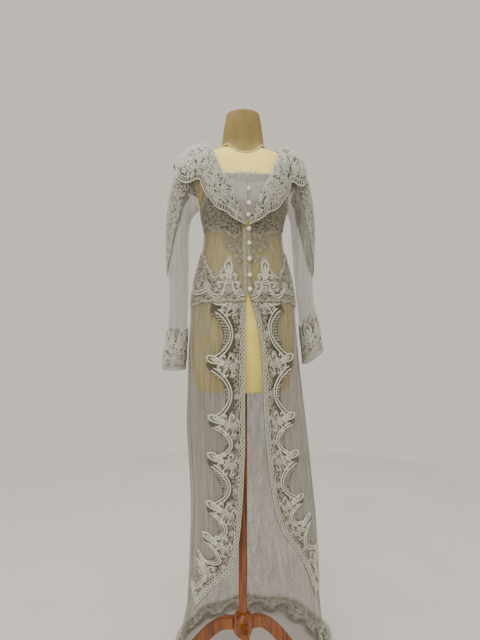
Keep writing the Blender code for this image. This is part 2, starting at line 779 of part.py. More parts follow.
def back_grid():
    """(turn, height) rows of the back, from the train's hem to neck and shoulders."""
    us = even(BACK_COLUMNS)
    quarter = 0.5 * math.pi

    def hem(u):
        turn = lerp(quarter, 3.0 * quarter, u)
        return turn, back_hem_height(turn)

    def left(v):
        return quarter, lerp(SIDE_HEM, UNDERARM, v)

    def right(v):
        return 3.0 * quarter, lerp(SIDE_HEM, UNDERARM, v)

    def middle(u):
        return lerp(quarter, 3.0 * quarter, u), UNDERARM

    def top(u):
        """Shoulder seam, back neckline, shoulder seam."""
        seam = 0.20
        near = min(u, 1.0 - u)
        if near <= seam:
            turn, height = quarter, lerp(SHOULDER_TIP, NECK_POINT, near / seam)
        else:
            t = (near - seam) / (0.5 - seam)
            turn = lerp(quarter, 2.0 * quarter, t)
            height = lerp(NECK_POINT, BACK_NECK, smoothstep(0.0, 0.7, t))
        return (turn if u <= 0.5 else 4.0 * quarter - turn), height

    def right_armhole(v):
        turn, height = armhole(v, False)
        return 4.0 * quarter - turn, height

    lower = coons(hem, middle, left, right, us,
                  BACK_TRAIN_ROWS + BACK_SKIRT_ROWS + WAIST_ROWS)
    upper = coons(middle, top, lambda v: armhole(v, False), right_armhole,
                  us, even(UPPER_STEPS))
    return lower + upper[1:]


def pulled_in(rows, low, high):
    """Keeps a grid's turns clear of the seams at both limits."""
    kept = []
    for row in rows:
        kept.append([
            (min(max(turn, low), high), height) for turn, height in row
        ])
    return kept


SEAM_TURN = 0.5 * SEAM_GAP / 0.10


def build_fronts():
    """Both fronts. Returns their sites, from centre front outwards."""
    panels = {}
    for side, name in ((-1, "front_right"), (1, "front_left")):
        rows = pulled_in(front_grid(side), -math.pi, 0.5 * math.pi - SEAM_TURN)
        panels[side] = [[cloth_site(side * turn, height) for turn, height in row] for row in rows]
        sheet_solid(name, panels[side], lambda i, j: -TULLE, lambda i, j: 0.0, NET_LOOK)
    return panels


def build_back():
    """The back with its train. Returns its sites, from the wearer's left round."""
    quarter = 0.5 * math.pi
    rows = pulled_in(back_grid(), quarter + SEAM_TURN, 3.0 * quarter - SEAM_TURN)
    panel = [[cloth_site(turn, height) for turn, height in row] for row in rows]
    sheet_solid("back_panel", panel, lambda i, j: -TULLE, lambda i, j: 0.0, NET_LOOK)
    return panel


def build_insets():
    """The pleated chest inset fills the neckline, edge to edge with the fronts."""
    for side, name in ((-1, "chest_inset_right"), (1, "chest_inset_left")):
        sites = []
        for v in even(10):
            row = []
            for u in even(5):
                top = INSET_TOP - 0.006 * math.sin(math.pi * u)
                height = lerp(INSET_LOW, top, v)
                low = GARMENT.turn_at(0.5 * SEAM_GAP + 0.0003, height)
                high = neckline_turn(height) - 0.0009 / GARMENT.front(height)
                turn = side * lerp(low, high, u)
                row.append(cloth_site(turn, height))
            sites.append(row)
        sheet_solid(name, sites, lambda i, j: -TULLE, lambda i, j: 0.0, INSET_LOOK)


PLACKET_LOW = 1.209
PLACKET_HIGH = 1.407
PLACKET_EDGES = (0.009, 0.070)   # shares of the way across the front


def build_plackets(fronts):
    for side, name in ((-1, "placket_right"), (1, "placket_left")):
        sites = []
        for v in even(14):
            height = lerp(PLACKET_LOW, PLACKET_HIGH, v)
            sites.append([panel_site(fronts[side], share, height) for share in PLACKET_EDGES])
        sheet_solid(name, sites, lambda i, j: PANEL_GAP, lambda i, j: PANEL_GAP + LACE,
                    LACE_LOOK)


def build_buttons(fronts):
    """Pearls on the wearer's left edge, the upper three on the inset."""
    for number, place in enumerate(BUTTON_PLACES, 1):
        if place.on_inset:
            point, normal = cloth_site(GARMENT.turn_at(0.003, place.height), place.height)
            under = 2.0 * SEAM_GAP
        else:
            point, normal = panel_site(fronts[1], 0.028, place.height)
            under = PANEL_GAP + LACE + 2.0 * SEAM_GAP
        centre = point + normal * (under + BUTTON_RADIUS)
        made = bmesh.new()
        bmesh.ops.create_icosphere(made, subdivisions=2, radius=BUTTON_RADIUS)
        turned = normal.to_track_quat("Z", "Y").to_matrix().to_4x4()
        bmesh.ops.transform(made, matrix=Matrix.Translation(centre) @ turned, verts=made.verts)
        points = [vertex.co.copy() for vertex in made.verts]
        faces = [tuple(vertex.index for vertex in face.verts) for face in made.faces]
        made.free()
        add_mesh("pearl_button_%d" % number, points, faces, *PEARL_LOOK)


# Sleeves


def sleeve_ring(side, ring, sides):
    """Ring of sites: it starts at the underarm and goes round by the front."""
    outer = Vector((side * ring.outer_x, 0.0, ring.outer_z))
    inner = Vector((side * ring.inner_x, 0.0, ring.inner_z))
    centre = 0.5 * (outer + inner)
    across = 0.5 * (outer - inner)
    sites = []
    for k in range(sides):
        angle = 2.0 * math.pi * k / sides
        away = -math.cos(angle)
        front = -math.sin(angle)
        point = centre + across * away + Vector((0.0, front * ring.half_depth, 0.0))
        width = across.length
        normal = across.normalized() * (away * ring.half_depth)
        normal += Vector((0.0, front * width, 0.0))
        sites.append((point, normal.normalized()))
    return sites


def armhole_ring(side):
    sites = []
    for k in range(2 * UPPER_STEPS):
        front = k <= UPPER_STEPS
        share = (k if front else 2 * UPPER_STEPS - k) / UPPER_STEPS
        turn, height = armhole(share, front)
        point = cloth_point(side * turn, height)
        point.x += side * 2.0 * SEAM_GAP
        sites.append(point)
    middle = sum(sites, Vector()) / len(sites)
    rings = []
    for k, point in enumerate(sites):
        normal = point - middle
        normal.x = 0.0
        rings.append((point, normal.normalized()))
    return rings


def sleeve_rings(side):
    rings = [armhole_ring(side)]
    for ring in SLEEVE_RINGS[side]:
        rings.append(sleeve_ring(side, ring, 2 * UPPER_STEPS))
    return rings


def build_sleeves():
    for side, name in ((-1, "sleeve_right"), (1, "sleeve_left")):
        rings = sleeve_rings(side)
        if side > 0:
            rings = [ring[::-1] for ring in rings]
        tube_solid(name, rings, -TULLE, 0.0, NET_LOOK)


def ring_site(ring, position):
    """Site on a ring's own facets, between two of its corners."""
    low = int(math.floor(position))
    share = position - low
    a = ring[low % len(ring)]
    b = ring[(low + 1) % len(ring)]
    return a[0].lerp(b[0], share), a[1].lerp(b[1], share).normalized()


def build_sleeve_lace():
    """Lace down the outer half of each upper arm, and all round each cuff."""
    for side, tail in ((-1, "right"), (1, "left")):
        rings = sleeve_rings(side)
        spread = (0.95, 0.95, 0.90, 0.75, 0.50, 0.20)
        sites = []
        for ring, edge in zip(rings[1:7], spread):
            row = [ring_site(ring, UPPER_STEPS - 2.0 - edge)]
            row += [ring_site(ring, UPPER_STEPS + k) for k in range(-2, 3)]
            row.append(ring_site(ring, UPPER_STEPS + 2.0 + edge))
            sites.append(row)
        sheet_solid("sleeve_lace_" + tail, sites, lambda i, j: LACE_GAP,
                    lambda i, j: LACE_GAP + LACE + (CORD_RELIEF if (i + j) % 2 else 0.0),
                    LACE_LOOK)
        cuff = rings[-4:]
        peaks = []
        for k, (point, normal) in enumerate(cuff[0]):
            drop = 0.55 if k % 2 else 0.0
            below = cuff[1][k]
            peaks.append((point.lerp(below[0], drop), normal.lerp(below[1], drop).normalized()))
        cuff = [peaks] + cuff[1:]
        if side > 0:
            cuff = [ring[::-1] for ring in cuff]
        tube_solid("cuff_lace_" + tail, cuff, LACE_GAP, LACE_GAP + LACE, LACE_LOOK)


# Lace on the panels


def panel_site(sites, across, height):
    """Site on a panel's own facets, by the share across and the height."""
    place = across * (len(sites[0]) - 1)
    j = min(int(place), len(sites[0]) - 2)
    share = place - j
    column = []
    for row in sites:
        a, b = row[j], row[j + 1]
        column.append((a[0].lerp(b[0], share), a[1].lerp(b[1], share)))
    i = 0
    while column[i + 1][0].z < height and i < len(column) - 2:
        i += 1
    low, high = column[i][0].z, column[i + 1][0].z
    up = clamp01((height - low) / (high - low))
    a, b = column[i], column[i + 1]
    return a[0].lerp(b[0], up), a[1].lerp(b[1], up).normalized()


def span_lace(name, sites, spans, first, last, rows, gap):
    """Lace between two outlines, on a panel's own columns from first to last."""
    across = [row.across for row in spans]
    low = Curve(across, [row.low for row in spans])
    high = Curve(across, [row.high for row in spans])
    count = len(sites[0]) - 1
    lace = []
    for v in even(rows):
        row = []
        for column in range(first, last + 1):
            share = min(max(column / count, across[0]), across[-1])
            row.append(panel_site(sites, share, lerp(low(share), high(share), v)))
        lace.append(row)

    def outer(i, j):
        return gap + LACE + (CORD_RELIEF if (i + j) % 2 else 0.0)

    sheet_solid(name, lace, lambda i, j: gap, outer, LACE_LOOK)


def build_panel_lace(fronts, back):
    for side, tail in ((-1, "right"), (1, "left")):
        span_lace("hip_lace_" + tail, fronts[side], HIP_LACE_SPAN,
                  1, FRONT_COLUMNS, 5, HIP_GAP)
        span_lace("bodice_lace_" + tail, fronts[side], BODICE_LACE_SPAN,
                  1, FRONT_COLUMNS, 6, BUST_GAP)
    span_lace("bodice_lace_back", back, BACK_BODICE_SPAN, 0, BACK_COLUMNS, 5, PANEL_GAP)
    span_lace("hip_lace_back", back, BACK_HIP_SPAN, 0, BACK_COLUMNS, 4, HIP_GAP)


def border_path(side):
    """Closely spaced (turn, height, place) points down the front edge and hem."""
    pairs = []
    corner = FRONT_EDGE[side][0].height
    steps = 120
    for i in range(steps):
        height = lerp(BORDER_TOP, corner, i / steps)
        pairs.append((edge_turn(side, height), height))
    end_share = 0.60
    for i in range(steps + 1):
        pairs.append(front_hem(side, end_share * i / steps))
    return pairs


def build_borders():
    """Corded border lace from the hip down the front edge and round the hem."""
    for side, tail in ((-1, "right"), (1, "left")):
        pairs = border_path(side)
        places = [cloth_point(side * turn, height) for turn, height in pairs]
        lengths = [0.0]
        for before, after in zip(places, places[1:]):
            lengths.append(lengths[-1] + (after - before).length)
        turn_at = Curve(lengths, [pair[0] for pair in pairs])
        height_at = Curve(lengths, [pair[1] for pair in pairs])
        total = lengths[-1]
        widths = BORDER_WIDTHS[side]
        width_at = Curve([row.along for row in widths], [row.width for row in widths])
        sites = []
        for i in range(BORDER_STEPS + 1):
            along = total * i / BORDER_STEPS
            turn, height = turn_at(along), height_at(along)
            radius = GARMENT.radius(side * turn, height)
            reach = 0.060
            before, after = max(0.0, along - reach), min(total, along + reach)
            run = radius * (turn_at(after) - turn_at(before))
            fall = height_at(after) - height_at(before)
            size = math.hypot(run, fall)
            row = []
            for share in BORDER_COLUMNS:
                width = 0.0008 + share * width_at(along / total)
                inward_turn = turn - fall / size * width / radius
                inward_height = height + run / size * width * smoothstep(0.0, 0.10, along)
                inward_turn = min(inward_turn, math.radians(78.0))
                row.append(cloth_site(side * inward_turn, inward_height))
            sites.append(row)

        def outer(i, j):
            beat = 1.0 if i % 3 else 0.3
            return WIDE_GAP + LACE + CORD_RELIEF * BORDER_RELIEF[j] * beat

        sheet_solid("border_lace_" + tail, sites, lambda i, j: WIDE_GAP, outer, LACE_LOOK)


def build_train_lace(back):
    """Scroll lace along the train's hem, on the back panel's own points."""
    first, last = 3, BACK_COLUMNS - 3
    lace = [row[first:last + 1] for row in back[:4]]
    sheet_solid("train_lace", lace, lambda i, j: TRAIN_GAP,
                lambda i, j: TRAIN_GAP + LACE, LACE_LOOK)


# Shawl collar


def collar_curves():
    """Curves by the station: sewn edge, outer edge, stand and crown."""
    knots = list(range(len(COLLAR_STATIONS)))
    turns = [
        neckline_turn(row.height) if row.turn is None else math.radians(row.turn)
        for row in COLLAR_STATIONS
    ]
    turn = Curve(knots, turns)
    height = Curve(knots, [row.height for row in COLLAR_STATIONS])
    outer = [Curve(knots, [row.outer[k] for row in COLLAR_STATIONS]) for k in range(3)]
    stand = Curve(knots, [row.stand for row in COLLAR_STATIONS])
    crown = Curve(knots, [row.crown for row in COLLAR_STATIONS])
    return turn, height, outer, stand, crown


def build_collar():
    """Each half runs from its sewn edge up, over the roll and down to the scallops."""
    turn, height, outer, stand, crown = collar_curves()
    last = len(COLLAR_STATIONS) - 1
    for side, tail in ((-1, "right"), (1, "left")):
        points = []
        for i in range(COLLAR_STEPS + 1):
            station = last * i / COLLAR_STEPS
            start, normal = cloth_site(turn(station), height(station))
            start = start + normal * COLLAR_SEAT
            end = Vector([curve(station) for curve in outer])
            reach = lerp(1.0, COLLAR_REACH[side], smoothstep(3.0, 7.0, station))
            end.x = end.x * reach if station < last else end.x
            beat = abs(math.sin(math.pi * COLLAR_SCALLOPS * i / COLLAR_STEPS))
            ramp = smoothstep(0.0, 1.5, station) * (1.0 - smoothstep(11.0, 12.0, station))
            end += (start - end).normalized() * (COLLAR_SCALLOP_DEPTH * (1.0 - beat) * ramp)
            upward = smoothstep(3.0, 8.0, station)
            rising = normal.lerp(Vector((0.0, 0.0, 1.0)), 0.85 * upward).normalized()
            away = (start + end) * 0.5 - Vector((0.0, 0.0, 1.50))
            lift = away - (end - start) * away.dot(end - start) / (end - start).length_squared
            first = start + rising * stand(station)
            second = end.lerp(start, 0.45) + lift.normalized() * (2.2 * crown(station))
            row = []
            for t in COLLAR_COLUMNS:
                point = start * (1.0 - t) ** 3 + first * (3.0 * t * (1.0 - t) ** 2)
                point = point + second * (3.0 * t * t * (1.0 - t)) + end * t ** 3
                row.append(point)
            if i == COLLAR_STEPS:
                for point in row:
                    point.x = 0.5 * SEAM_GAP
            points.append([Vector((side * p.x, p.y, p.z)) for p in row])
        sites = with_normals(points)
        rim = len(COLLAR_COLUMNS) - 1

        def face(i, j, rim=rim):
            return 0.5 * COLLAR_LACE + (CORD_RELIEF if j == rim else 0.0)

        sheet_solid("collar_" + tail, sites, lambda i, j: -0.5 * COLLAR_LACE, face, LACE_LOOK)


def with_normals(points):
    """Sites from rows of points, with normals that point away from the torso."""
    rows, columns = len(points), len(points[0])
    outward = points[1][3] - Vector((0.0, 0.0, points[1][3].z))
    turned = (points[2][3] - points[0][3]).cross(points[1][4] - points[1][2])
    facing = 1.0 if turned.dot(outward) > 0.0 else -1.0
    sites = []
    for i in range(rows):
        row = []
        for j in range(columns):
            along = points[min(i + 1, rows - 1)][j] - points[max(i - 1, 0)][j]
            across = points[i][min(j + 1, columns - 1)] - points[i][max(j - 1, 0)]
            normal = along.cross(across).normalized() * facing
            if i in (0, rows - 1):
                normal.x = 0.0
                normal.normalize()
            row.append((points[i][j], normal))
        sites.append(row)
    return sites


def main():
    for old in list(bpy.data.objects):
        bpy.data.objects.remove(old, do_unlink=True)
    build_torso()
    build_neck()
    build_pole_and_hub()
    build_legs()
    fronts = build_fronts()
    back = build_back()
    build_insets()
    build_plackets(fronts)
    build_buttons(fronts)
    build_sleeves()
    build_sleeve_lace()
    build_panel_lace(fronts, back)
    build_borders()
    build_train_lace(back)
    build_collar()
    origin = bpy.data.objects.new("form_axis", None)
    bpy.context.scene.collection.objects.link(origin)
    origin.location = (AXIS_X, AXIS_Y, 0.0)
    for shape in bpy.data.objects:
        if shape.type == "MESH":
            shape.parent = origin


main()
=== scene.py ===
"""Looks of the kebaya blouse: net, corded lace, pearls, jersey form and wooden stand.

The surface is worked out from the same sizes as the solids, so each piece of cloth
lies on its own solid. Charts turn two lengths on the cloth into points in space,
and the lace is drawn on them as cords, flowers, leaves and beads.
"""
import math
from collections import namedtuple

import bmesh
import bpy
import numpy as np
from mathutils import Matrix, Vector


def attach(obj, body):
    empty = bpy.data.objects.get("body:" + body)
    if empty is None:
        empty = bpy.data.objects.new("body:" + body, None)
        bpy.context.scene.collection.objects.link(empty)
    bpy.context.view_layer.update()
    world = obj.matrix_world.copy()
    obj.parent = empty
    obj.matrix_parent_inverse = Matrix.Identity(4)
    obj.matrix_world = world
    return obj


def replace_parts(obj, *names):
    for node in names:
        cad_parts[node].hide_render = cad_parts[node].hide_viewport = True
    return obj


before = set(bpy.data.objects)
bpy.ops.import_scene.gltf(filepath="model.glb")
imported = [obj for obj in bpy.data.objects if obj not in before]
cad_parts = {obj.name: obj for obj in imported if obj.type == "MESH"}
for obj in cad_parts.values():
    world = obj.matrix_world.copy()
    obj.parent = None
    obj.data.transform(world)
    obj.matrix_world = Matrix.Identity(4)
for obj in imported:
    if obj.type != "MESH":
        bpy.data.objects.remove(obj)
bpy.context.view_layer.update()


# Sizes shared with the solids, in metres
AXIS_X = -0.0470            # the form's axis, once the model's box is centred
AXIS_Y = -0.1210
TULLE = 0.0012              # thickness of the net cloth
SEAM_GAP = 0.0003
EASE = 0.0060               # garment outer face to the form, body part
BUST_EASE = 0.0021          # the same at the fullest part of the bust, where it rests
SHOULDER_EASE = 0.0110      # the same over the sloping shoulders
ROUNDNESS = 2.3             # 2 is an ellipse; more is squarer
FLOOR_CLEAR = 0.0014        # outer face of the net where the train lies

NECK_TOP = 1.777
NECK_SEAM = 1.668           # flat joint of neck block and torso
TORSO_BOTTOM = 0.930
HUB_TOP = 0.226
HUB_BOTTOM = 0.150
HUB_RADIUS = 0.030
POLE_RADIUS = 0.0135
LEG_REACH = 0.228
LEG_WIDTH = 0.024

UNDERARM = 1.475            # height of the armhole's lowest point
SHOULDER_TIP = 1.615
BUST_HEIGHT = 1.520
NECK_POINT = 1.6580         # where the shoulder seam meets the neckline
BACK_NECK = 1.6540
ARM_SWEEP = math.radians(28.0)
SIDE_HEM = 0.200            # hem height at the side seam
BUTTON_RADIUS = 0.0065
INSET_LOW = 1.428           # the inset's lower tip, in the point of the neckline
INSET_TOP = 1.563

Section = namedtuple("Section", "height half_width front back shift")

# The bare form, bottom to top
FORM_SECTIONS = (
    Section(0.930, 0.1460, 0.1000, 0.1120, 0.0),
    Section(0.990, 0.1550, 0.1060, 0.1210, 0.0),
    Section(1.060, 0.1590, 0.1090, 0.1270, 0.0),
    Section(1.130, 0.1585, 0.1100, 0.1260, 0.0),
    Section(1.200, 0.1545, 0.1090, 0.1170, 0.0),
    Section(1.260, 0.1445, 0.1050, 0.1030, 0.0),
    Section(1.320, 0.1290, 0.0980, 0.0900, 0.0),
    Section(1.370, 0.1180, 0.0910, 0.0830, 0.0),
    Section(1.410, 0.1160, 0.0900, 0.0820, 0.0),
    Section(1.450, 0.1235, 0.1010, 0.0870, 0.0),
    Section(1.490, 0.1340, 0.1170, 0.0940, 0.0),
    Section(1.520, 0.1410, 0.1210, 0.0980, 0.0),
    Section(1.555, 0.1500, 0.1140, 0.1000, 0.0),
    Section(1.590, 0.1580, 0.0980, 0.0970, 0.0),
    Section(1.615, 0.1600, 0.0830, 0.0890, 0.0),
    Section(1.632, 0.1500, 0.0710, 0.0800, 0.0),
    Section(1.645, 0.1280, 0.0630, 0.0740, 0.0),
    Section(1.656, 0.1000, 0.0580, 0.0690, 0.0),
    Section(1.664, 0.0760, 0.0565, 0.0670, 0.0),
)

# The hanging skirt below the hip, and the train, where a height under zero
# counts the way along the floor. The train is swept to the wearer's left.
SKIRT_SECTIONS = (
    Section(-0.170, 0.3250, 0.2000, 0.4700, 0.075),
    Section(-0.080, 0.2960, 0.1800, 0.4150, 0.055),
    Section(0.000, 0.2640, 0.1650, 0.3450, 0.034),
    Section(0.100, 0.2250, 0.1560, 0.2830, 0.033),
    Section(0.280, 0.2000, 0.1520, 0.2380, 0.036),
    Section(0.480, 0.1930, 0.1470, 0.2080, 0.036),
    Section(0.660, 0.1870, 0.1400, 0.1860, 0.026),
    Section(0.800, 0.1850, 0.1340, 0.1680, 0.014),
    Section(0.930, 0.1770, 0.1280, 0.1520, 0.007),
    Section(1.060, 0.1690, 0.1220, 0.1410, 0.001),
)

# Depth of the skirt's folds from ridge to trough, by height
FoldDepth = namedtuple("FoldDepth", "height depth")
FOLD_DEPTHS = (
    FoldDepth(-0.170, 0.0150),
    FoldDepth(0.000, 0.0150),
    FoldDepth(0.100, 0.0170),
    FoldDepth(0.450, 0.0130),
    FoldDepth(0.800, 0.0080),
    FoldDepth(1.000, 0.0030),
    FoldDepth(1.120, 0.0000),
)
FOLDS_ROUND = 16

# The front edge of each side, from the underarm's height down to the corner,
# as the distance out from centre front. It runs out towards the neckline on
# top, closes edge to edge under the buttons and opens below them.
EdgePoint = namedtuple("EdgePoint", "height out")
NECKLINE = (
    EdgePoint(1.416, 0.0015),
    EdgePoint(1.440, 0.0130),
    EdgePoint(1.475, 0.0265),
    EdgePoint(1.530, 0.0520),
    EdgePoint(1.565, 0.0720),
    EdgePoint(1.600, 0.0860),
    EdgePoint(1.630, 0.0950),
)
FRONT_EDGE = {
    -1: (
        EdgePoint(0.430, 0.0440),
        EdgePoint(0.490, 0.0290),
        EdgePoint(0.560, 0.0200),
        EdgePoint(0.660, 0.0130),
        EdgePoint(0.800, 0.0075),
        EdgePoint(1.100, 0.0070),
        EdgePoint(1.184, 0.0040),
        EdgePoint(1.218, 0.0015),
    ),
    1: (
        EdgePoint(0.530, 0.0960),
        EdgePoint(0.600, 0.0730),
        EdgePoint(0.690, 0.0600),
        EdgePoint(0.790, 0.0500),
        EdgePoint(0.900, 0.0440),
        EdgePoint(1.000, 0.0420),
        EdgePoint(1.080, 0.0350),
        EdgePoint(1.150, 0.0225),
        EdgePoint(1.190, 0.0085),
        EdgePoint(1.223, 0.0015),
    ),
}
# From the corner the hem runs out and down to the side seam
HemPoint = namedtuple("HemPoint", "turn height")
FRONT_HEM = {
    -1: (
        HemPoint(50.0, 0.365),
        HemPoint(68.0, 0.290),
        HemPoint(80.0, 0.238),
    ),
    1: (
        HemPoint(46.0, 0.428),
        HemPoint(62.0, 0.318),
        HemPoint(77.0, 0.248),
    ),
}
# Back hem by the angle from centre front: under zero it lies on the floor
BACK_HEM = (
    HemPoint(90.0, SIDE_HEM),
    HemPoint(100.0, 0.110),
    HemPoint(112.0, -0.020),
    HemPoint(132.0, -0.130),
    HemPoint(158.0, -0.162),
    HemPoint(180.0, -0.170),
)

# Sleeve rings from the armhole down: outer and inner edge seen from the front,
# half depth front to back
SleeveRing = namedtuple("SleeveRing", "outer_x outer_z inner_x inner_z half_depth")
SLEEVE_RINGS = {
    -1: (
        SleeveRing(0.188, 1.606, 0.1455, 1.466, 0.0640),
        SleeveRing(0.207, 1.583, 0.1520, 1.457, 0.0610),
        SleeveRing(0.220, 1.548, 0.1580, 1.447, 0.0600),
        SleeveRing(0.232, 1.480, 0.1650, 1.422, 0.0600),
        SleeveRing(0.237, 1.395, 0.1680, 1.380, 0.0595),
        SleeveRing(0.2365, 1.320, 0.1675, 1.318, 0.0570),
        SleeveRing(0.230, 1.240, 0.1685, 1.240, 0.0530),
        SleeveRing(0.229, 1.165, 0.1710, 1.165, 0.0490),
        SleeveRing(0.236, 1.095, 0.1740, 1.095, 0.0470),
        SleeveRing(0.243, 1.035, 0.1770, 1.035, 0.0460),
        SleeveRing(0.248, 0.985, 0.1800, 0.985, 0.0460),
    ),
    1: (
        SleeveRing(0.186, 1.606, 0.1445, 1.466, 0.0640),
        SleeveRing(0.200, 1.581, 0.1480, 1.457, 0.0610),
        SleeveRing(0.210, 1.546, 0.1505, 1.446, 0.0600),
        SleeveRing(0.220, 1.480, 0.1530, 1.422, 0.0600),
        SleeveRing(0.2245, 1.395, 0.1560, 1.380, 0.0595),
        SleeveRing(0.222, 1.320, 0.1610, 1.318, 0.0570),
        SleeveRing(0.220, 1.240, 0.1680, 1.240, 0.0530),
        SleeveRing(0.2285, 1.170, 0.1755, 1.165, 0.0490),
        SleeveRing(0.2405, 1.112, 0.1840, 1.095, 0.0470),
        SleeveRing(0.248, 1.072, 0.1890, 1.042, 0.0460),
        SleeveRing(0.252, 1.043, 0.1930, 0.997, 0.0460),
    ),
}

# Shawl collar from centre front round to centre back: where it is sewn down (at
# the neckline's own angle where turn is None), its outer edge, how far it stands
# up before it rolls over, and how far its fall is crowned
CollarStation = namedtuple("CollarStation", "height turn outer stand crown")
COLLAR_STATIONS = (
    CollarStation(1.426, None, (0.0060, -0.1110, 1.413), 0.004, 0.002),
    CollarStation(1.462, None, (0.0450, -0.1150, 1.432), 0.009, 0.004),
    CollarStation(1.506, None, (0.0820, -0.1110, 1.456), 0.015, 0.006),
    CollarStation(1.543, None, (0.1090, -0.1040, 1.480), 0.020, 0.008),
    CollarStation(1.576, None, (0.1300, -0.0960, 1.521), 0.024, 0.010),
    CollarStation(1.602, None, (0.1450, -0.0910, 1.545), 0.028, 0.014),
    CollarStation(1.626, None, (0.1710, -0.0820, 1.533), 0.032, 0.018),
    CollarStation(1.651, 70.0, (0.1970, -0.0620, 1.556), 0.036, 0.022),
    CollarStation(1.658, 90.0, (0.2090, -0.0120, 1.611), 0.038, 0.020),
    CollarStation(1.658, 113.0, (0.2040, 0.0360, 1.598), 0.038, 0.020),
    CollarStation(1.656, 138.0, (0.1740, 0.0860, 1.556), 0.038, 0.018),
    CollarStation(1.654, 160.0, (0.1000, 0.1100, 1.526), 0.038, 0.014),
    CollarStation(1.654, 180.0, (0.00015, 0.1200, 1.512), 0.038, 0.012),
)
COLLAR_REACH = {-1: 1.03, 1: 0.955}   # it is draped a little to the wearer's right
COLLAR_SEAT = 0.0019        # middle of the collar's thickness above the net, where sewn
COLLAR_SCALLOPS = 8
COLLAR_SCALLOP_DEPTH = 0.006

# Width of the front border lace by the way along the edge, from the hip to the
# hem's end: wide at each fleur, narrow at the middle of each bay
BorderWidth = namedtuple("BorderWidth", "along width")
BORDER_WIDTHS = {
    -1: (
        BorderWidth(0.000, 0.108),
        BorderWidth(0.035, 0.112),
        BorderWidth(0.059, 0.084),
        BorderWidth(0.106, 0.072),
        BorderWidth(0.159, 0.086),
        BorderWidth(0.197, 0.122),
        BorderWidth(0.227, 0.098),
        BorderWidth(0.253, 0.070),
        BorderWidth(0.307, 0.064),
        BorderWidth(0.349, 0.080),
        BorderWidth(0.378, 0.116),
        BorderWidth(0.406, 0.080),
        BorderWidth(0.441, 0.062),
        BorderWidth(0.476, 0.082),
        BorderWidth(0.500, 0.118),
        BorderWidth(0.538, 0.090),
        BorderWidth(0.584, 0.066),
        BorderWidth(0.625, 0.082),
        BorderWidth(0.650, 0.114),
        BorderWidth(0.677, 0.090),
        BorderWidth(0.709, 0.068),
        BorderWidth(0.737, 0.082),
        BorderWidth(0.757, 0.118),
        BorderWidth(0.784, 0.086),
        BorderWidth(0.821, 0.066),
        BorderWidth(0.859, 0.080),
        BorderWidth(0.882, 0.112),
        BorderWidth(0.914, 0.080),
        BorderWidth(0.955, 0.062),
        BorderWidth(1.000, 0.058),
    ),
}
BORDER_WIDTHS[1] = tuple(
    BorderWidth(row.along, 0.93 * row.width) for row in BORDER_WIDTHS[-1]
)
BORDER_TOP = 1.186

# Outlines of the other lace pieces, by the share of the way across the panel
# from centre front to the side seam, or from side seam to side seam
LaceSpan = namedtuple("LaceSpan", "across low high")
HIP_LACE_SPAN = (
    LaceSpan(0.06, 1.190, 1.208),
    LaceSpan(0.20, 1.190, 1.262),
    LaceSpan(0.29, 1.190, 1.322),
    LaceSpan(0.38, 1.190, 1.284),
    LaceSpan(0.50, 1.190, 1.262),
    LaceSpan(0.62, 1.188, 1.296),
    LaceSpan(0.80, 1.180, 1.334),
    LaceSpan(0.99, 1.176, 1.340),
)
BODICE_LACE_SPAN = (
    LaceSpan(0.10, 1.335, 1.430),
    LaceSpan(0.20, 1.322, 1.446),
    LaceSpan(0.34, 1.350, 1.480),
    LaceSpan(0.48, 1.378, 1.512),
    LaceSpan(0.62, 1.400, 1.524),
    LaceSpan(0.76, 1.420, 1.502),
    LaceSpan(0.88, 1.412, 1.466),
    LaceSpan(0.99, 1.414, 1.456),
)
BACK_BODICE_SPAN = (
    LaceSpan(0.01, 1.414, 1.452),
    LaceSpan(0.10, 1.406, 1.456),
    LaceSpan(0.22, 1.420, 1.492),
    LaceSpan(0.36, 1.396, 1.530),
    LaceSpan(0.50, 1.360, 1.540),
    LaceSpan(0.64, 1.396, 1.530),
    LaceSpan(0.78, 1.420, 1.492),
    LaceSpan(0.90, 1.406, 1.456),
    LaceSpan(0.99, 1.414, 1.452),
)
BACK_HIP_SPAN = (
    LaceSpan(0.01, 1.176, 1.340),
    LaceSpan(0.16, 1.190, 1.318),
    LaceSpan(0.30, 1.168, 1.296),
    LaceSpan(0.50, 1.130, 1.330),
    LaceSpan(0.70, 1.168, 1.296),
    LaceSpan(0.84, 1.190, 1.318),
    LaceSpan(0.99, 1.176, 1.340),
)

ButtonPlace = namedtuple("ButtonPlace", "height on_inset")
BUTTON_PLACES = (
    ButtonPlace(1.512, True),
    ButtonPlace(1.475, True),
    ButtonPlace(1.444, True),
    ButtonPlace(1.402, False),
    ButtonPlace(1.359, False),
    ButtonPlace(1.312, False),
    ButtonPlace(1.265, False),
    ButtonPlace(1.224, False),
)


class Curve:
    """A smooth curve without overshoot through rising positions and their values."""

    def __init__(self, positions, values):
        self.xs = [float(position) for position in positions]
        self.ys = [float(value) for value in values]
        count = len(self.xs)
        secants = [
            (self.ys[i + 1] - self.ys[i]) / (self.xs[i + 1] - self.xs[i])
            for i in range(count - 1)
        ]
        self.slopes = [secants[0]]
        for before, after in zip(secants, secants[1:]):
            same_way = before * after > 0.0
            slope = 2.0 * before * after / (before + after) if same_way else 0.0
            self.slopes.append(slope)
        self.slopes.append(secants[-1])

    def __call__(self, x):
        if x <= self.xs[0]:
            return self.ys[0]
        if x >= self.xs[-1]:
            return self.ys[-1]
        i = 0
        while self.xs[i + 1] < x:
            i += 1
        width = self.xs[i + 1] - self.xs[i]
        t = (x - self.xs[i]) / width
        from_start = (1.0 + 2.0 * t) * (1.0 - t) ** 2 * self.ys[i]
        from_end = t * t * (3.0 - 2.0 * t) * self.ys[i + 1]
        start_slope = t * (1.0 - t) ** 2 * width * self.slopes[i]
        end_slope = t * t * (t - 1.0) * width * self.slopes[i + 1]
        return from_start + from_end + start_slope + end_slope


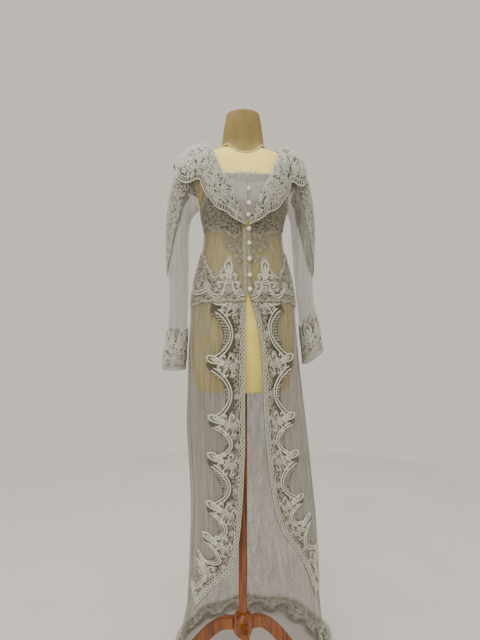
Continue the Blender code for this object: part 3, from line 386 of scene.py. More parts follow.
def lerp(a, b, t):
    return a + (b - a) * t


def clamp01(value):
    return max(0.0, min(1.0, value))


def smoothstep(low, high, value):
    t = clamp01((value - low) / (high - low))
    return t * t * (3.0 - 2.0 * t)


# The garment's sections follow the form with ease, then hang free below the hip
def eased(row):
    ease = SHOULDER_EASE if row.height > 1.60 else EASE
    bust = BUST_EASE if abs(row.height - BUST_HEIGHT) < 0.005 else ease
    return Section(row.height, row.half_width + ease, row.front + bust, row.back + ease, 0.0)


GARMENT_SECTIONS = SKIRT_SECTIONS + tuple(
    eased(row) for row in FORM_SECTIONS if row.height > 1.1
)


class Body:
    """A stack of rounded sections, read by the angle from centre front and height."""

    def __init__(self, sections):
        heights = [row.height for row in sections]
        self.half_width = Curve(heights, [row.half_width for row in sections])
        self.front = Curve(heights, [row.front for row in sections])
        self.back = Curve(heights, [row.back for row in sections])
        self.shift = Curve(heights, [row.shift for row in sections])

    def radius(self, turn, height):
        side = abs(math.sin(turn)) / self.half_width(height)
        depth = self.front if math.cos(turn) > 0.0 else self.back
        along = abs(math.cos(turn)) / depth(height)
        return (side ** ROUNDNESS + along ** ROUNDNESS) ** (-1.0 / ROUNDNESS)

    def turn_at(self, x, height):
        """Angle from centre front of the front point that lies x from the middle."""
        offset = x - self.shift(height)
        share = min(0.999, abs(offset) / self.half_width(height))
        depth = self.front(height) * (1.0 - share ** ROUNDNESS) ** (1.0 / ROUNDNESS)
        return math.atan2(offset, depth)


FORM = Body(FORM_SECTIONS)
GARMENT = Body(GARMENT_SECTIONS)
FOLD_DEPTH = Curve([row.height for row in FOLD_DEPTHS], [row.depth for row in FOLD_DEPTHS])


def fold_wave(turn):
    """Uneven folds round the skirt, from 0 in a trough to 1 on a ridge."""
    main = math.cos(FOLDS_ROUND * turn + 0.9 * math.sin(3.0 * turn + 1.1))
    slow = math.sin(5.0 * turn + 0.6)
    return clamp01(0.5 + 0.40 * main + 0.12 * slow)


def fold_mask(turn):
    """The stiff lace bands keep the fronts smooth; folds start beyond them."""
    away = abs(math.atan2(math.sin(turn), math.cos(turn)))
    return smoothstep(math.radians(76.0), math.radians(100.0), away)


def cloth_point(turn, height):
    """Point on the outer face of the net cloth."""
    radius = GARMENT.radius(turn, height)
    outward = Vector((math.sin(turn), -math.cos(turn), 0.0))
    level = 0.5 * (height + math.sqrt(height * height + 0.0004)) + FLOOR_CLEAR
    point = outward * radius
    point.x += GARMENT.shift(height)
    point.z = max(height, level) if height > 0.3 else level
    lying = 1.0 - smoothstep(-0.03, 0.07, height)
    fold = FOLD_DEPTH(height) * fold_wave(turn) * fold_mask(turn)
    rise = outward.lerp(Vector((0.0, 0.0, 1.0)), lying).normalized()
    return point + rise * fold


def coons(bottom, top, left, right, us, vs):
    """(turn, height) pairs of a four-sided patch, as rows of columns.

    Each side is a function of its share of the way and gives such a pair.
    """
    low, high = [bottom(u) for u in us], [top(u) for u in us]
    first, last = [left(v) for v in vs], [right(v) for v in vs]
    ends = bottom(0.0), bottom(1.0), top(0.0), top(1.0)
    rows = []
    for i, v in enumerate(vs):
        row = []
        for j, u in enumerate(us):
            pair = []
            for k in range(2):
                ruled_v = lerp(low[j][k], high[j][k], v)
                ruled_u = lerp(first[i][k], last[i][k], u)
                a, b, c, d = (end[k] for end in ends)
                pair.append(ruled_v + ruled_u - lerp(lerp(a, b, u), lerp(c, d, u), v))
            row.append(tuple(pair))
        rows.append(row)
    return rows


def even(count):
    return [i / count for i in range(count + 1)]


def neckline_turn(height):
    rows = NECKLINE
    out = Curve([row.height for row in rows], [row.out for row in rows])(height)
    return GARMENT.turn_at(out, height)


def edge_turn(side, height):
    """Unsigned angle of a front edge at a height, from the corner to the neckline."""
    if height >= NECKLINE[0].height:
        return neckline_turn(height)
    rows = FRONT_EDGE[side] + NECKLINE[:1]
    out = Curve([row.height for row in rows], [row.out for row in rows])(height)
    return side * GARMENT.turn_at(side * out, height)


def armhole(share, front):
    """Armhole from the underarm (0) to the shoulder tip (1), on one side of the arm."""
    middle = 0.5 * (UNDERARM + SHOULDER_TIP)
    half = 0.5 * (SHOULDER_TIP - UNDERARM)
    height = middle - half * math.cos(math.pi * share)
    sweep = ARM_SWEEP * math.sin(math.pi * share)
    return 0.5 * math.pi + (-sweep if front else sweep), height


def neck_edge(share):
    """Front neckline from the underarm's height (0) to the neck point (1)."""
    slope_end = 0.62
    bend = 1.640
    if share < slope_end:
        height = lerp(UNDERARM, bend, share / slope_end)
        return neckline_turn(height), height
    over = (share - slope_end) / (1.0 - slope_end)
    turn = lerp(neckline_turn(bend), 0.5 * math.pi, over)
    return turn, lerp(bend, NECK_POINT, math.sin(0.5 * math.pi * over))


def front_hem(side, share):
    corner = FRONT_EDGE[side][0].height
    rows = FRONT_HEM[side]
    turns = [math.degrees(edge_turn(side, corner))] + [row.turn for row in rows] + [90.0]
    heights = [corner] + [row.height for row in rows] + [SIDE_HEM]
    turn = lerp(turns[0], 90.0, share)
    return math.radians(turn), Curve(turns, heights)(turn)


def back_hem_height(turn):
    away = 180.0 - abs(180.0 - math.degrees(turn))
    return Curve([row.turn for row in BACK_HEM], [row.height for row in BACK_HEM])(away)


def front_grid(side, us, lower_shares, upper_shares):
    """(turn, height) rows of a front, from its hem to the shoulder seam."""
    corner = FRONT_EDGE[side][0].height
    underarm_turn = edge_turn(side, UNDERARM)

    def left(v):
        height = lerp(corner, UNDERARM, v)
        return edge_turn(side, height), height

    def right(v):
        return 0.5 * math.pi, lerp(SIDE_HEM, UNDERARM, v)

    def middle(u):
        return lerp(underarm_turn, 0.5 * math.pi, u), UNDERARM

    def shoulder(u):
        return 0.5 * math.pi, lerp(NECK_POINT, SHOULDER_TIP, u)

    lower = coons(lambda u: front_hem(side, u), middle, left, right,
                  us, lower_shares)
    upper = coons(middle, shoulder, neck_edge, lambda v: armhole(v, True),
                  us, upper_shares)
    return lower + upper[1:]


def back_grid(us, lower_shares, upper_shares):
    """(turn, height) rows of the back, from the train's hem to neck and shoulders."""
    quarter = 0.5 * math.pi

    def hem(u):
        turn = lerp(quarter, 3.0 * quarter, u)
        return turn, back_hem_height(turn)

    def left(v):
        return quarter, lerp(SIDE_HEM, UNDERARM, v)

    def right(v):
        return 3.0 * quarter, lerp(SIDE_HEM, UNDERARM, v)

    def middle(u):
        return lerp(quarter, 3.0 * quarter, u), UNDERARM

    def top(u):
        """Shoulder seam, back neckline, shoulder seam."""
        seam = 0.20
        near = min(u, 1.0 - u)
        if near <= seam:
            turn, height = quarter, lerp(SHOULDER_TIP, NECK_POINT, near / seam)
        else:
            t = (near - seam) / (0.5 - seam)
            turn = lerp(quarter, 2.0 * quarter, t)
            height = lerp(NECK_POINT, BACK_NECK, smoothstep(0.0, 0.7, t))
        return (turn if u <= 0.5 else 4.0 * quarter - turn), height

    def right_armhole(v):
        turn, height = armhole(v, False)
        return 4.0 * quarter - turn, height

    lower = coons(hem, middle, left, right, us, lower_shares)
    upper = coons(middle, top, lambda v: armhole(v, False), right_armhole,
                  us, upper_shares)
    return lower + upper[1:]


def border_path(side):
    """Closely spaced (turn, height, place) points down the front edge and hem."""
    pairs = []
    corner = FRONT_EDGE[side][0].height
    steps = 120
    for i in range(steps):
        height = lerp(BORDER_TOP, corner, i / steps)
        pairs.append((edge_turn(side, height), height))
    end_share = 0.60
    for i in range(steps + 1):
        pairs.append(front_hem(side, end_share * i / steps))
    return pairs


def collar_curves():
    """Curves by the station: sewn edge, outer edge, stand and crown."""
    knots = list(range(len(COLLAR_STATIONS)))
    turns = [
        neckline_turn(row.height) if row.turn is None else math.radians(row.turn)
        for row in COLLAR_STATIONS
    ]
    turn = Curve(knots, turns)
    height = Curve(knots, [row.height for row in COLLAR_STATIONS])
    outer = [Curve(knots, [row.outer[k] for row in COLLAR_STATIONS]) for k in range(3)]
    stand = Curve(knots, [row.stand for row in COLLAR_STATIONS])
    crown = Curve(knots, [row.crown for row in COLLAR_STATIONS])
    return turn, height, outer, stand, crown


AXIS = np.array((AXIS_X, AXIS_Y, 0.0))

# Kinds of lace work, by their place in a list of looks
THREAD, CORD, CORDED, SEED = range(4)


def soft(low, high, values):
    t = np.clip((values - low) / (high - low), 0.0, 1.0)
    return t * t * (3.0 - 2.0 * t)


def normals_of(points, away_from):
    """Unit normals of a grid of points, turned away from a point or a line of points."""
    across = np.gradient(points, axis=1)
    along = np.gradient(points, axis=0)
    normals = np.cross(across, along)
    size = np.linalg.norm(normals, axis=2, keepdims=True)
    normals = normals / np.maximum(size, 1e-12)
    facing = 1.0 if (normals * (points - np.array(away_from))).sum() > 0.0 else -1.0
    return normals * facing


class Chart:
    """A patch of cloth, read by u across its rows and v along it, both in metres."""

    def __init__(self, vs, points, away_from):
        self.vs = np.array(vs)
        self.points = np.array([[tuple(point) for point in row] for row in points])
        self.widths = np.linalg.norm(np.diff(self.points, axis=1), axis=2).sum(axis=1)
        self.normals = normals_of(self.points, away_from)

    def width(self, v):
        return np.interp(v, self.vs, self.widths)

    def place(self, spots):
        """World points of (u, v, lift) rows."""
        spots = np.asarray(spots, dtype=float)
        rows, columns = self.points.shape[:2]
        shares = np.clip(spots[:, 0] / self.width(spots[:, 1]), 0.0, 1.0)
        across = shares * (columns - 1)
        along = np.interp(spots[:, 1], self.vs, np.arange(rows))
        j = np.minimum(across.astype(int), columns - 2)
        i = np.minimum(along.astype(int), rows - 2)
        s = (across - j)[:, None]
        t = (along - i)[:, None]

        def blend(values):
            low = values[i, j] * (1.0 - s) + values[i, j + 1] * s
            high = values[i + 1, j] * (1.0 - s) + values[i + 1, j + 1] * s
            return low * (1.0 - t) + high * t

        return blend(self.points) + blend(self.normals) * spots[:, 2:3] + AXIS


def lengths_of(points):
    """Running length along a line of points."""
    lengths = [0.0]
    for before, after in zip(points, points[1:]):
        lengths.append(lengths[-1] + max((after - before).length, 1e-5))
    return lengths


def front_span(side, height):
    """Turns of a front's edge and of its side seam or armhole at a height."""
    outer = 0.5 * math.pi
    if height > UNDERARM:
        middle = 0.5 * (UNDERARM + SHOULDER_TIP)
        half = 0.5 * (SHOULDER_TIP - UNDERARM)
        share = math.acos(max(-1.0, min(1.0, (middle - height) / half))) / math.pi
        outer -= ARM_SWEEP * math.sin(math.pi * share)
    return edge_turn(side, height), outer


def front_chart(side, low, high):
    """u outwards from the front edge, v the height."""
    vs = np.linspace(low, high, 60)
    points = []
    for height in vs:
        first, last = front_span(side, height)
        turns = np.linspace(first, last, 44)
        points.append([cloth_point(side * turn, height) for turn in turns])
    return Chart(vs, points, (0.0, 0.0, 1.3))


def back_chart(low, high):
    """u from the wearer's left side seam to the right, v the height."""
    vs = np.linspace(low, high, 50)
    turns = np.linspace(0.5 * math.pi, 1.5 * math.pi, 90)
    points = [[cloth_point(turn, height) for turn in turns] for height in vs]
    return Chart(vs, points, (0.0, 0.0, 1.3))


def border_chart(side):
    """u inwards from the front edge, v down the edge and round the hem."""
    pairs = border_path(side)
    lengths = lengths_of([cloth_point(side * turn, height) for turn, height in pairs])
    turn_at = Curve(lengths, [pair[0] for pair in pairs])
    height_at = Curve(lengths, [pair[1] for pair in pairs])
    total = lengths[-1]
    vs = np.linspace(0.0, total, 150)
    points = []
    for along in vs:
        turn, height = turn_at(along), height_at(along)
        radius = GARMENT.radius(side * turn, height)
        before, after = max(0.0, along - 0.060), min(total, along + 0.060)
        run = radius * (turn_at(after) - turn_at(before))
        fall = height_at(after) - height_at(before)
        size = math.hypot(run, fall)
        row = []
        for width in np.linspace(0.0, 0.130, 16):
            inward_turn = turn - fall / size * width / radius
            inward_height = height + run / size * width * smoothstep(0.0, 0.10, along)
            inward_turn = min(inward_turn, math.radians(82.0))
            row.append(cloth_point(side * inward_turn, inward_height))
        points.append(row)
    return Chart(vs, points, (0.0, 0.0, 0.9)), total


def train_chart():
    """u inwards from the hem, v along it from the wearer's left."""
    shares = np.linspace(0.0, 0.085, 14)
    points = []
    for turn in np.radians(np.linspace(112.5, 247.5, 120)):
        hem = back_hem_height(turn)
        points.append([cloth_point(turn, lerp(hem, UNDERARM, share)) for share in shares])
    vs = lengths_of([row[7] for row in points])
    return Chart(vs, points, (0.0, 0.12, -0.5)), vs[-1]


def sleeve_point(side, step, angle, swell=0.0):
    """Point of a sleeve: step -1 is the armhole, 0 and more the rings down to the cuff."""
    rings = SLEEVE_RINGS[side]
    curves = SLEEVE_CURVES[side]
    outer_x, outer_z, inner_x, inner_z, depth = (curve(max(step, 0.0)) for curve in curves)
    outer = Vector((side * outer_x, 0.0, outer_z))
    inner = Vector((side * inner_x, 0.0, inner_z))
    across = 0.5 * (outer - inner)
    size = across.length
    point = 0.5 * (outer + inner) - across * ((1.0 + swell / size) * math.cos(angle))
    point.y -= (depth + swell) * math.sin(angle)
    if step < 0.0:
        turned = angle % (2.0 * math.pi)
        front = turned <= math.pi
        share = (turned if front else 2.0 * math.pi - turned) / math.pi
        turn, height = armhole(share, front)
        start = cloth_point(side * turn, height)
        start.x += side * 2.0 * SEAM_GAP
        point = start.lerp(point, 1.0 + step)
    return point


SLEEVE_CURVES = {
    side: [Curve(range(len(rings)), [ring[k] for ring in rings]) for k in range(5)]
    for side, rings in SLEEVE_RINGS.items()
}


def sleeve_chart(side, first, last, spread):
    """u round the outer face of a sleeve, v from ring first to ring last."""
    angles = np.linspace(math.pi - spread, math.pi + spread, 40)
    points = [
        [sleeve_point(side, step, angle) for angle in angles]
        for step in np.linspace(first, last, 60)
    ]
    vs = lengths_of([row[20] for row in points])
    return Chart(vs, points, (side * 0.19, 0.0, 1.4))


def cuff_chart(side):
    """u up the sleeve from its lower edge, v round it."""
    steps = np.linspace(len(SLEEVE_RINGS[side]) - 1.0, 6.0, 30)
    angles = np.linspace(0.0, 2.0 * math.pi, 80)
    points = [[sleeve_point(side, step, angle) for step in steps] for angle in angles]
    vs = lengths_of([row[8] for row in points])
    middle = [tuple(0.5 * (a + b)) for a, b in zip(points[0], points[40])]
    return Chart(vs, points, [middle] * len(angles)), vs[-1]


def cloth_site(turn, height):
    step = 0.004
    point = cloth_point(turn, height)
    across = cloth_point(turn + step, height) - cloth_point(turn - step, height)
    up = cloth_point(turn, height + step) - cloth_point(turn, height - step)
    return point, across.cross(up).normalized()


def collar_chart(side):
    """u from the sewn edge to the outer edge, v from centre front to centre back."""
    turn, height, outer, stand, crown = collar_curves()
    last = len(COLLAR_STATIONS) - 1
    points = []
    for station in np.linspace(0.0, last, 170):
        start, normal = cloth_site(turn(station), height(station))
        start = start + normal * COLLAR_SEAT
        end = Vector([curve(station) for curve in outer])
        reach = lerp(1.0, COLLAR_REACH[side], smoothstep(3.0, 7.0, station))
        end.x = end.x * reach if station < last else end.x
        beat = abs(math.sin(math.pi * COLLAR_SCALLOPS * station / last))
        ramp = smoothstep(0.0, 1.5, station) * (1.0 - smoothstep(11.0, 12.0, station))
        end += (start - end).normalized() * (COLLAR_SCALLOP_DEPTH * (1.0 - beat) * ramp)
        upward = smoothstep(3.0, 8.0, station)
        rising = normal.lerp(Vector((0.0, 0.0, 1.0)), 0.85 * upward).normalized()
        away = (start + end) * 0.5 - Vector((0.0, 0.0, 1.50))
        lift = away - (end - start) * away.dot(end - start) / (end - start).length_squared
        first = start + rising * stand(station)
        second = end.lerp(start, 0.45) + lift.normalized() * (2.2 * crown(station))
        row = []
        for t in np.linspace(0.0, 1.0, 26):
            point = start * (1.0 - t) ** 3 + first * (3.0 * t * (1.0 - t) ** 2)
            point = point + second * (3.0 * t * t * (1.0 - t)) + end * t ** 3
            row.append(Vector((side * max(point.x, 0.0001), point.y, point.z)))
        points.append(row)
    vs = lengths_of([row[-1] for row in points])
    return Chart(vs, points, (0.0, 0.0, 1.45)), vs[-1]


# Meshes


def add_piece(name, points, faces, looks, spots=None, kinds=None):
    """One mesh object that rides on the part's body."""
    mesh = bpy.data.meshes.new(name)
    mesh.from_pydata(np.asarray(points).tolist(), [], np.asarray(faces).tolist())
    for look in looks:
        mesh.materials.append(look)
    if kinds is not None:
        mesh.polygons.foreach_set("material_index", np.asarray(kinds, dtype=np.int32))
    if spots is not None:
        layer = mesh.uv_layers.new(name="cloth")
        corners = np.empty(len(mesh.loops), dtype=np.int32)
        mesh.loops.foreach_get("vertex_index", corners)
        layer.data.foreach_set("uv", np.asarray(spots)[corners][:, :2].ravel())
    mesh.update()
    mesh.shade_smooth()
    shape = bpy.data.objects.new(name, mesh)
    bpy.context.scene.collection.objects.link(shape)
    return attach(shape, "root")


def grid_faces(rows, columns):
    i, j = np.meshgrid(np.arange(rows - 1), np.arange(columns - 1), indexing="ij")
    a = (i * columns + j).ravel()
    return np.stack((a, a + 1, a + columns + 1, a + columns), axis=1)


def grid_piece(name, points, looks, spots):
    """A sheet through a grid of world points, with its (u, v) spots."""
    rows, columns = points.shape[:2]
    return add_piece(name, points.reshape(-1, 3), grid_faces(rows, columns), looks,
                     spots.reshape(-1, 2))


class Needlework:
    """Raised lace work on a chart, gathered as triangles."""

    def __init__(self, base, seed):
        self.base = base
        self.random = np.random.default_rng(seed)
        self.spots = []
        self.faces = []
        self.kinds = []
        self.count = 0

    def add(self, spots, faces, kind):
        self.spots.append(spots)
        self.faces.append(np.asarray(faces) + self.count)
        self.kinds.append(np.full(len(faces), kind))
        self.count += len(spots)

    def stamp(self, form, places, sizes, angles, kind):
        """Copies of a form (points, triangles) at (u, v) places."""
        places = np.atleast_2d(np.asarray(places, dtype=float))
        if not places.size:
            return
        points, faces = form
        number = len(places)
        sizes = np.broadcast_to(np.asarray(sizes, dtype=float), (number,))[:, None]
        angles = np.broadcast_to(np.asarray(angles, dtype=float), (number,))[:, None]
        x, y, h = points[:, 0], points[:, 1], points[:, 2]
        u = places[:, :1] + sizes * (x * np.cos(angles) - y * np.sin(angles))
        v = places[:, 1:2] + sizes * (x * np.sin(angles) + y * np.cos(angles))
        lift = self.base + np.minimum(sizes * h, TALLEST)
        spots = np.stack((u, v, lift), axis=2).reshape(-1, 3)
        offsets = (np.arange(number) * len(points))[:, None, None]
        self.add(spots, (faces[None] + offsets).reshape(-1, 3), kind)

    def cord(self, line, width, height, kind=CORD):
        """A rounded raised cord along a line of (u, v) points."""
        line = np.asarray(line, dtype=float)
        along = np.gradient(line, axis=0)
        along /= np.maximum(np.linalg.norm(along, axis=1, keepdims=True), 1e-9)
        across = np.column_stack((-along[:, 1], along[:, 0]))
        columns = []
        for side, rise in CORD_PROFILE:
            edge = line + across * (0.5 * side * width)
            lift = np.full(len(line), self.base + rise * height)
            columns.append(np.column_stack((edge, lift)))
        spots = np.stack(columns, axis=1).reshape(-1, 3)
        quads = grid_faces(len(line), len(CORD_PROFILE))
        self.add(spots, np.vstack((quads[:, (0, 1, 2)], quads[:, (0, 2, 3)])), kind)

    def finish(self, name, chart, looks):
        spots = np.vstack(self.spots)
        return add_piece(name, chart.place(spots), np.vstack(self.faces), looks, spots,
                         np.concatenate(self.kinds))


TALLEST = 0.0032
CORD_PROFILE = ((-1.0, 0.0), (-0.62, 0.78), (0.0, 1.0), (0.62, 0.78), (1.0, 0.0))


# Forms of the lace work: x and y across a size of 1, and the height


def flower_form(petals):
    points = []
    faces = []
    spread = 0.82 * math.pi / petals
    outline = ((0.16, 0.0), (0.66, -1.0), (0.94, -0.42), (1.0, 0.0), (0.94, 0.42), (0.66, 1.0))
    for k in range(petals):
        angle = 2.0 * math.pi * k / petals
        start = len(points)
        for reach, swing in outline:
            turned = angle + swing * spread
            points.append((reach * math.cos(turned), reach * math.sin(turned), 0.0))
        points.append((0.62 * math.cos(angle), 0.62 * math.sin(angle), 0.22))
        faces += [(start + i, start + (i + 1) % 6, start + 6) for i in range(6)]
    start = len(points)
    for k in range(6):
        angle = 2.0 * math.pi * k / 6
        points.append((0.21 * math.cos(angle), 0.21 * math.sin(angle), 0.16))
    points.append((0.0, 0.0, 0.42))
    faces += [(start + i, start + (i + 1) % 6, start + 6) for i in range(6)]
    return np.array(points), np.array(faces)


def leaf_form():
    outline = ((0.0, 0.0), (0.30, -0.20), (0.62, -0.17), (1.0, 0.0), (0.62, 0.17), (0.30, 0.20))
    points = [(x, y, 0.0) for x, y in outline] + [(0.32, 0.0, 0.16), (0.68, 0.0, 0.13)]
    faces = [(0, 1, 6), (1, 2, 6), (2, 7, 6), (2, 3, 7), (3, 4, 7), (4, 6, 7), (4, 5, 6), (5, 0, 6)]
    return np.array(points), np.array(faces)


def bead_form():
    points = []
    for reach, rise in ((1.0, 0.15), (0.80, 1.05)):
        for k in range(6):
            angle = 2.0 * math.pi * (k + 0.5 * (rise > 1.0)) / 6
            points.append((reach * math.cos(angle), reach * math.sin(angle), rise))
    points.append((0.0, 0.0, 1.55))
    faces = []
    for k in range(6):
        n = (k + 1) % 6
        faces += [(k, n, 6 + k), (n, 6 + n, 6 + k), (6 + k, 6 + n, 12)]
    return np.array(points), np.array(faces)


def ring_form():
    points = []
    faces = []
    sides = 12
    for reach, rise in ((1.0, 0.0), (0.80, 0.30), (0.56, 0.0)):
        for k in range(sides):
            angle = 2.0 * math.pi * k / sides
            points.append((reach * math.cos(angle), reach * math.sin(angle), rise))
    for start in (0, sides):
        for k in range(sides):
            n = (k + 1) % sides
            faces.append((start + k, start + n, start + sides + n))
            faces.append((start + k, start + sides + n, start + sides + k))
    return np.array(points), np.array(faces)


FLOWER = flower_form(5)
ROSETTE = flower_form(8)
LEAF = leaf_form()
BEAD = bead_form()
RING = ring_form()


def bow(start, end, depth):
    """A C-shaped line from start to end, bulging to its left by depth."""
    start, end = np.array(start, dtype=float), np.array(end, dtype=float)
    t = np.linspace(0.0, 1.0, 34)
    across = np.array((-(end - start)[1], (end - start)[0]))
    across /= np.linalg.norm(across)
    bulge = depth * np.sin(math.pi * t) ** 0.75
    return start + (end - start) * t[:, None] + across * bulge[:, None]


def scatter(work, inside, box, pitch):
    """Jittered spots about a pitch apart, where inside(u, v) holds."""
    (u0, u1), (v0, v1) = box
    spots = []
    for row, v in enumerate(np.arange(v0, v1, 0.866 * pitch)):
        for u in np.arange(u0 + 0.5 * pitch * (row % 2), u1, pitch):
            spots.append((u, v))
    spots = np.array(spots)
    spots += work.random.uniform(-0.28 * pitch, 0.28 * pitch, spots.shape)
    return spots[inside(spots[:, 0], spots[:, 1])]


def blossom(work, inside, box, pitch):
    """All-over lace: flowers, with leaves and beads between them."""
    spots = scatter(work, inside, box, pitch)
    number = len(spots)
    work.stamp(FLOWER, spots, pitch * work.random.uniform(0.36, 0.60, number),
               work.random.uniform(0.0, 6.28, number), THREAD)
    leaves = scatter(work, inside, box, 0.60 * pitch)
    number = len(leaves)
    work.stamp(LEAF, leaves, pitch * work.random.uniform(0.40, 0.72, number),
               work.random.uniform(0.0, 6.28, number), THREAD)
    beads = scatter(work, inside, box, 0.95 * pitch)
    work.stamp(BEAD, beads, work.random.uniform(0.0007, 0.0012, len(beads)), 0.0, SEED)


def petal(start, size, angle, breadth):
    """A closed drop-shaped loop from its narrow root at start."""
    t = np.linspace(0.0, 2.0 * math.pi, 26)
    x = size * 0.5 * (1.0 - np.cos(t))
    y = size * breadth * np.sin(t) * np.sin(0.5 * t)
    return np.column_stack((start[0] + x * math.cos(angle) - y * math.sin(angle),
                            start[1] + x * math.sin(angle) + y * math.cos(angle)))


def curl(start, size, angle, turn):
    """A hooked line that leaves start along angle and curls over to one side."""
    t = np.linspace(0.0, 1.0, 24)
    heading = angle - 0.55 * turn + turn * 5.0 * t ** 1.5
    steps = 1.75 * size / 24.0 * (1.0 - 0.62 * t)
    x = start[0] + np.cumsum(steps * np.cos(heading))
    y = start[1] + np.cumsum(steps * np.sin(heading))
    return np.column_stack((x, y))


def fleur(work, spot, size, angle):
    """A looped tip between curled lobes, with beads; the tip points along angle."""
    spot = np.array(spot, dtype=float)
    ahead = np.array((math.cos(angle), math.sin(angle)))
    aside = np.array((-ahead[1], ahead[0]))
    width = 0.0012 + 0.042 * size

    def at(x, y):
        return spot + size * (x * ahead + y * aside)

    work.cord(petal(at(0.28, 0.0), 0.72 * size, angle, 0.26), width, 0.0021)
    work.stamp(LEAF, [at(0.36, 0.0)], 0.52 * size, angle, CORDED)
    for turn in (-1.0, 1.0):
        work.cord(curl(at(0.20, 0.06 * turn), 0.50 * size, angle + 0.60 * turn, turn),
                  width, 0.0021)
        work.cord(curl(at(0.02, 0.10 * turn), 0.52 * size, angle + 1.25 * turn, turn),
                  width, 0.0020)
        work.cord(curl(at(-0.20, 0.10 * turn), 0.36 * size, angle + 1.70 * turn, turn),
                  0.8 * width, 0.0018)
        lobes = [at(0.42, 0.30 * turn), at(0.12, 0.46 * turn), at(-0.18, 0.38 * turn)]
        work.stamp(ROSETTE, lobes, (0.085 * size, 0.095 * size, 0.075 * size), 0.0, CORDED)
        work.stamp(BEAD, lobes, 0.0016, 0.0, SEED)
    for x, half in ((0.22, 0.17), (0.14, 0.20)):
        work.cord(bow(at(x, -half), at(x, half), 0.04 * size), 0.9 * width, 0.0022)
    work.stamp(ROSETTE, [at(-0.12, 0.0)], 0.17 * size, angle, CORDED)
    work.stamp(BEAD, [at(-0.12, 0.0), at(1.04, 0.0)], 0.0022, 0.0, SEED)


def ringed_edge(work, total):
    """A scalloped cord with a row of ringed beads and a second cord inside it."""
    edge = np.arange(0.0, total, 0.0035)
    scallop = 0.0022 + 0.0020 * np.abs(np.sin(math.pi * edge / 0.0125))
    work.cord(np.column_stack((scallop, edge)), 0.0026, 0.0015)
    places = np.arange(0.006, total - 0.004, 0.0125)
    rings = np.column_stack((np.full(len(places), 0.0108), places))
    work.stamp(RING, rings, 0.0060, 0.0, CORD)
    work.stamp(BEAD, rings, 0.0019, 0.0, SEED)
    work.stamp(BEAD, rings + np.array((0.0, 0.00625)), 0.0013, 0.0, SEED)
    second = np.column_stack((0.0185 + 0.0015 * np.sin(edge / 0.011), edge))
    work.cord(second, 0.0018, 0.0010)


def band(work, total, fleurs, width_at, pitch=0.0112):
    """Border lace: ringed edge, rosettes, paired C cords between fleurs, veined bays."""
    ringed_edge(work, total)
    for here, there in zip(fleurs, fleurs[1:]):
        span = there - here
        start = (0.80 * width_at(here), here + 0.05 * span)
        end = (0.78 * width_at(there), there - 0.09 * span)
        outer = bow(start, end, min(0.050, 0.55 * span))
        outer[:, 0] = np.maximum(outer[:, 0], 0.0300)
        inner = outer + np.array((0.0078, 0.0))
        inner[:, 1] = here + 0.5 * span + (inner[:, 1] - here - 0.5 * span) * 0.90
        work.cord(outer, 0.0040, 0.0021)
        work.cord(inner, 0.0036, 0.0019)
        work.stamp(BEAD, 0.5 * (outer + inner)[2:-2:2], 0.0013, 0.0, SEED)
        for k in range(2, len(inner) - 2):
            room = width_at(inner[k, 1]) - inner[k, 0] - 0.004
            lean = 0.9 * (k / (len(inner) - 1) - 0.5)
            for step in range(int(room / 0.008)):
                spot = inner[k] + (0.003 + 0.008 * step, 0.0)
                work.stamp(LEAF, [spot], 0.010, lean + 0.5 * (k % 2), THREAD)
                if (k + step) % 3 == 0:
                    work.stamp(BEAD, [spot + (0.005, 0.004)], 0.0009, 0.0, SEED)
        middle = (0.0262, here + 0.5 * span)
        work.stamp(ROSETTE, [middle], 0.0092, 0.0, CORDED)
        work.stamp(BEAD, [middle], 0.0027, 0.0, SEED)
    for place in fleurs:
        width = width_at(place)
        size = 0.58 * width
        fleur(work, (width - 1.02 * size, place), size, -0.32)
        work.stamp(ROSETTE, [(0.045, place), (0.030, place)], (0.0110, 0.0070), 0.3, CORDED)
        work.stamp(BEAD, [(0.045, place)], 0.0030, 0.0, SEED)

    def clear(u, v):
        room = np.array([width_at(value) for value in v])
        near = np.array([min(abs(value - place) for place in fleurs) for value in v])
        limit = np.where(near < 0.020, 0.72 * room, 0.0340 + 0.5 * np.maximum(0.0, 0.05 - near))
        return (u > 0.021) & (u < np.minimum(limit, room - 0.004))

    blossom(work, clear, ((0.020, 0.125), (0.004, total - 0.004)), pitch)


# Looks


def shade(red, green, blue):
    """Linear colour from display values of 0 to 255."""
    return tuple((value / 255.0) ** 2.2 for value in (red, green, blue)) + (1.0,)


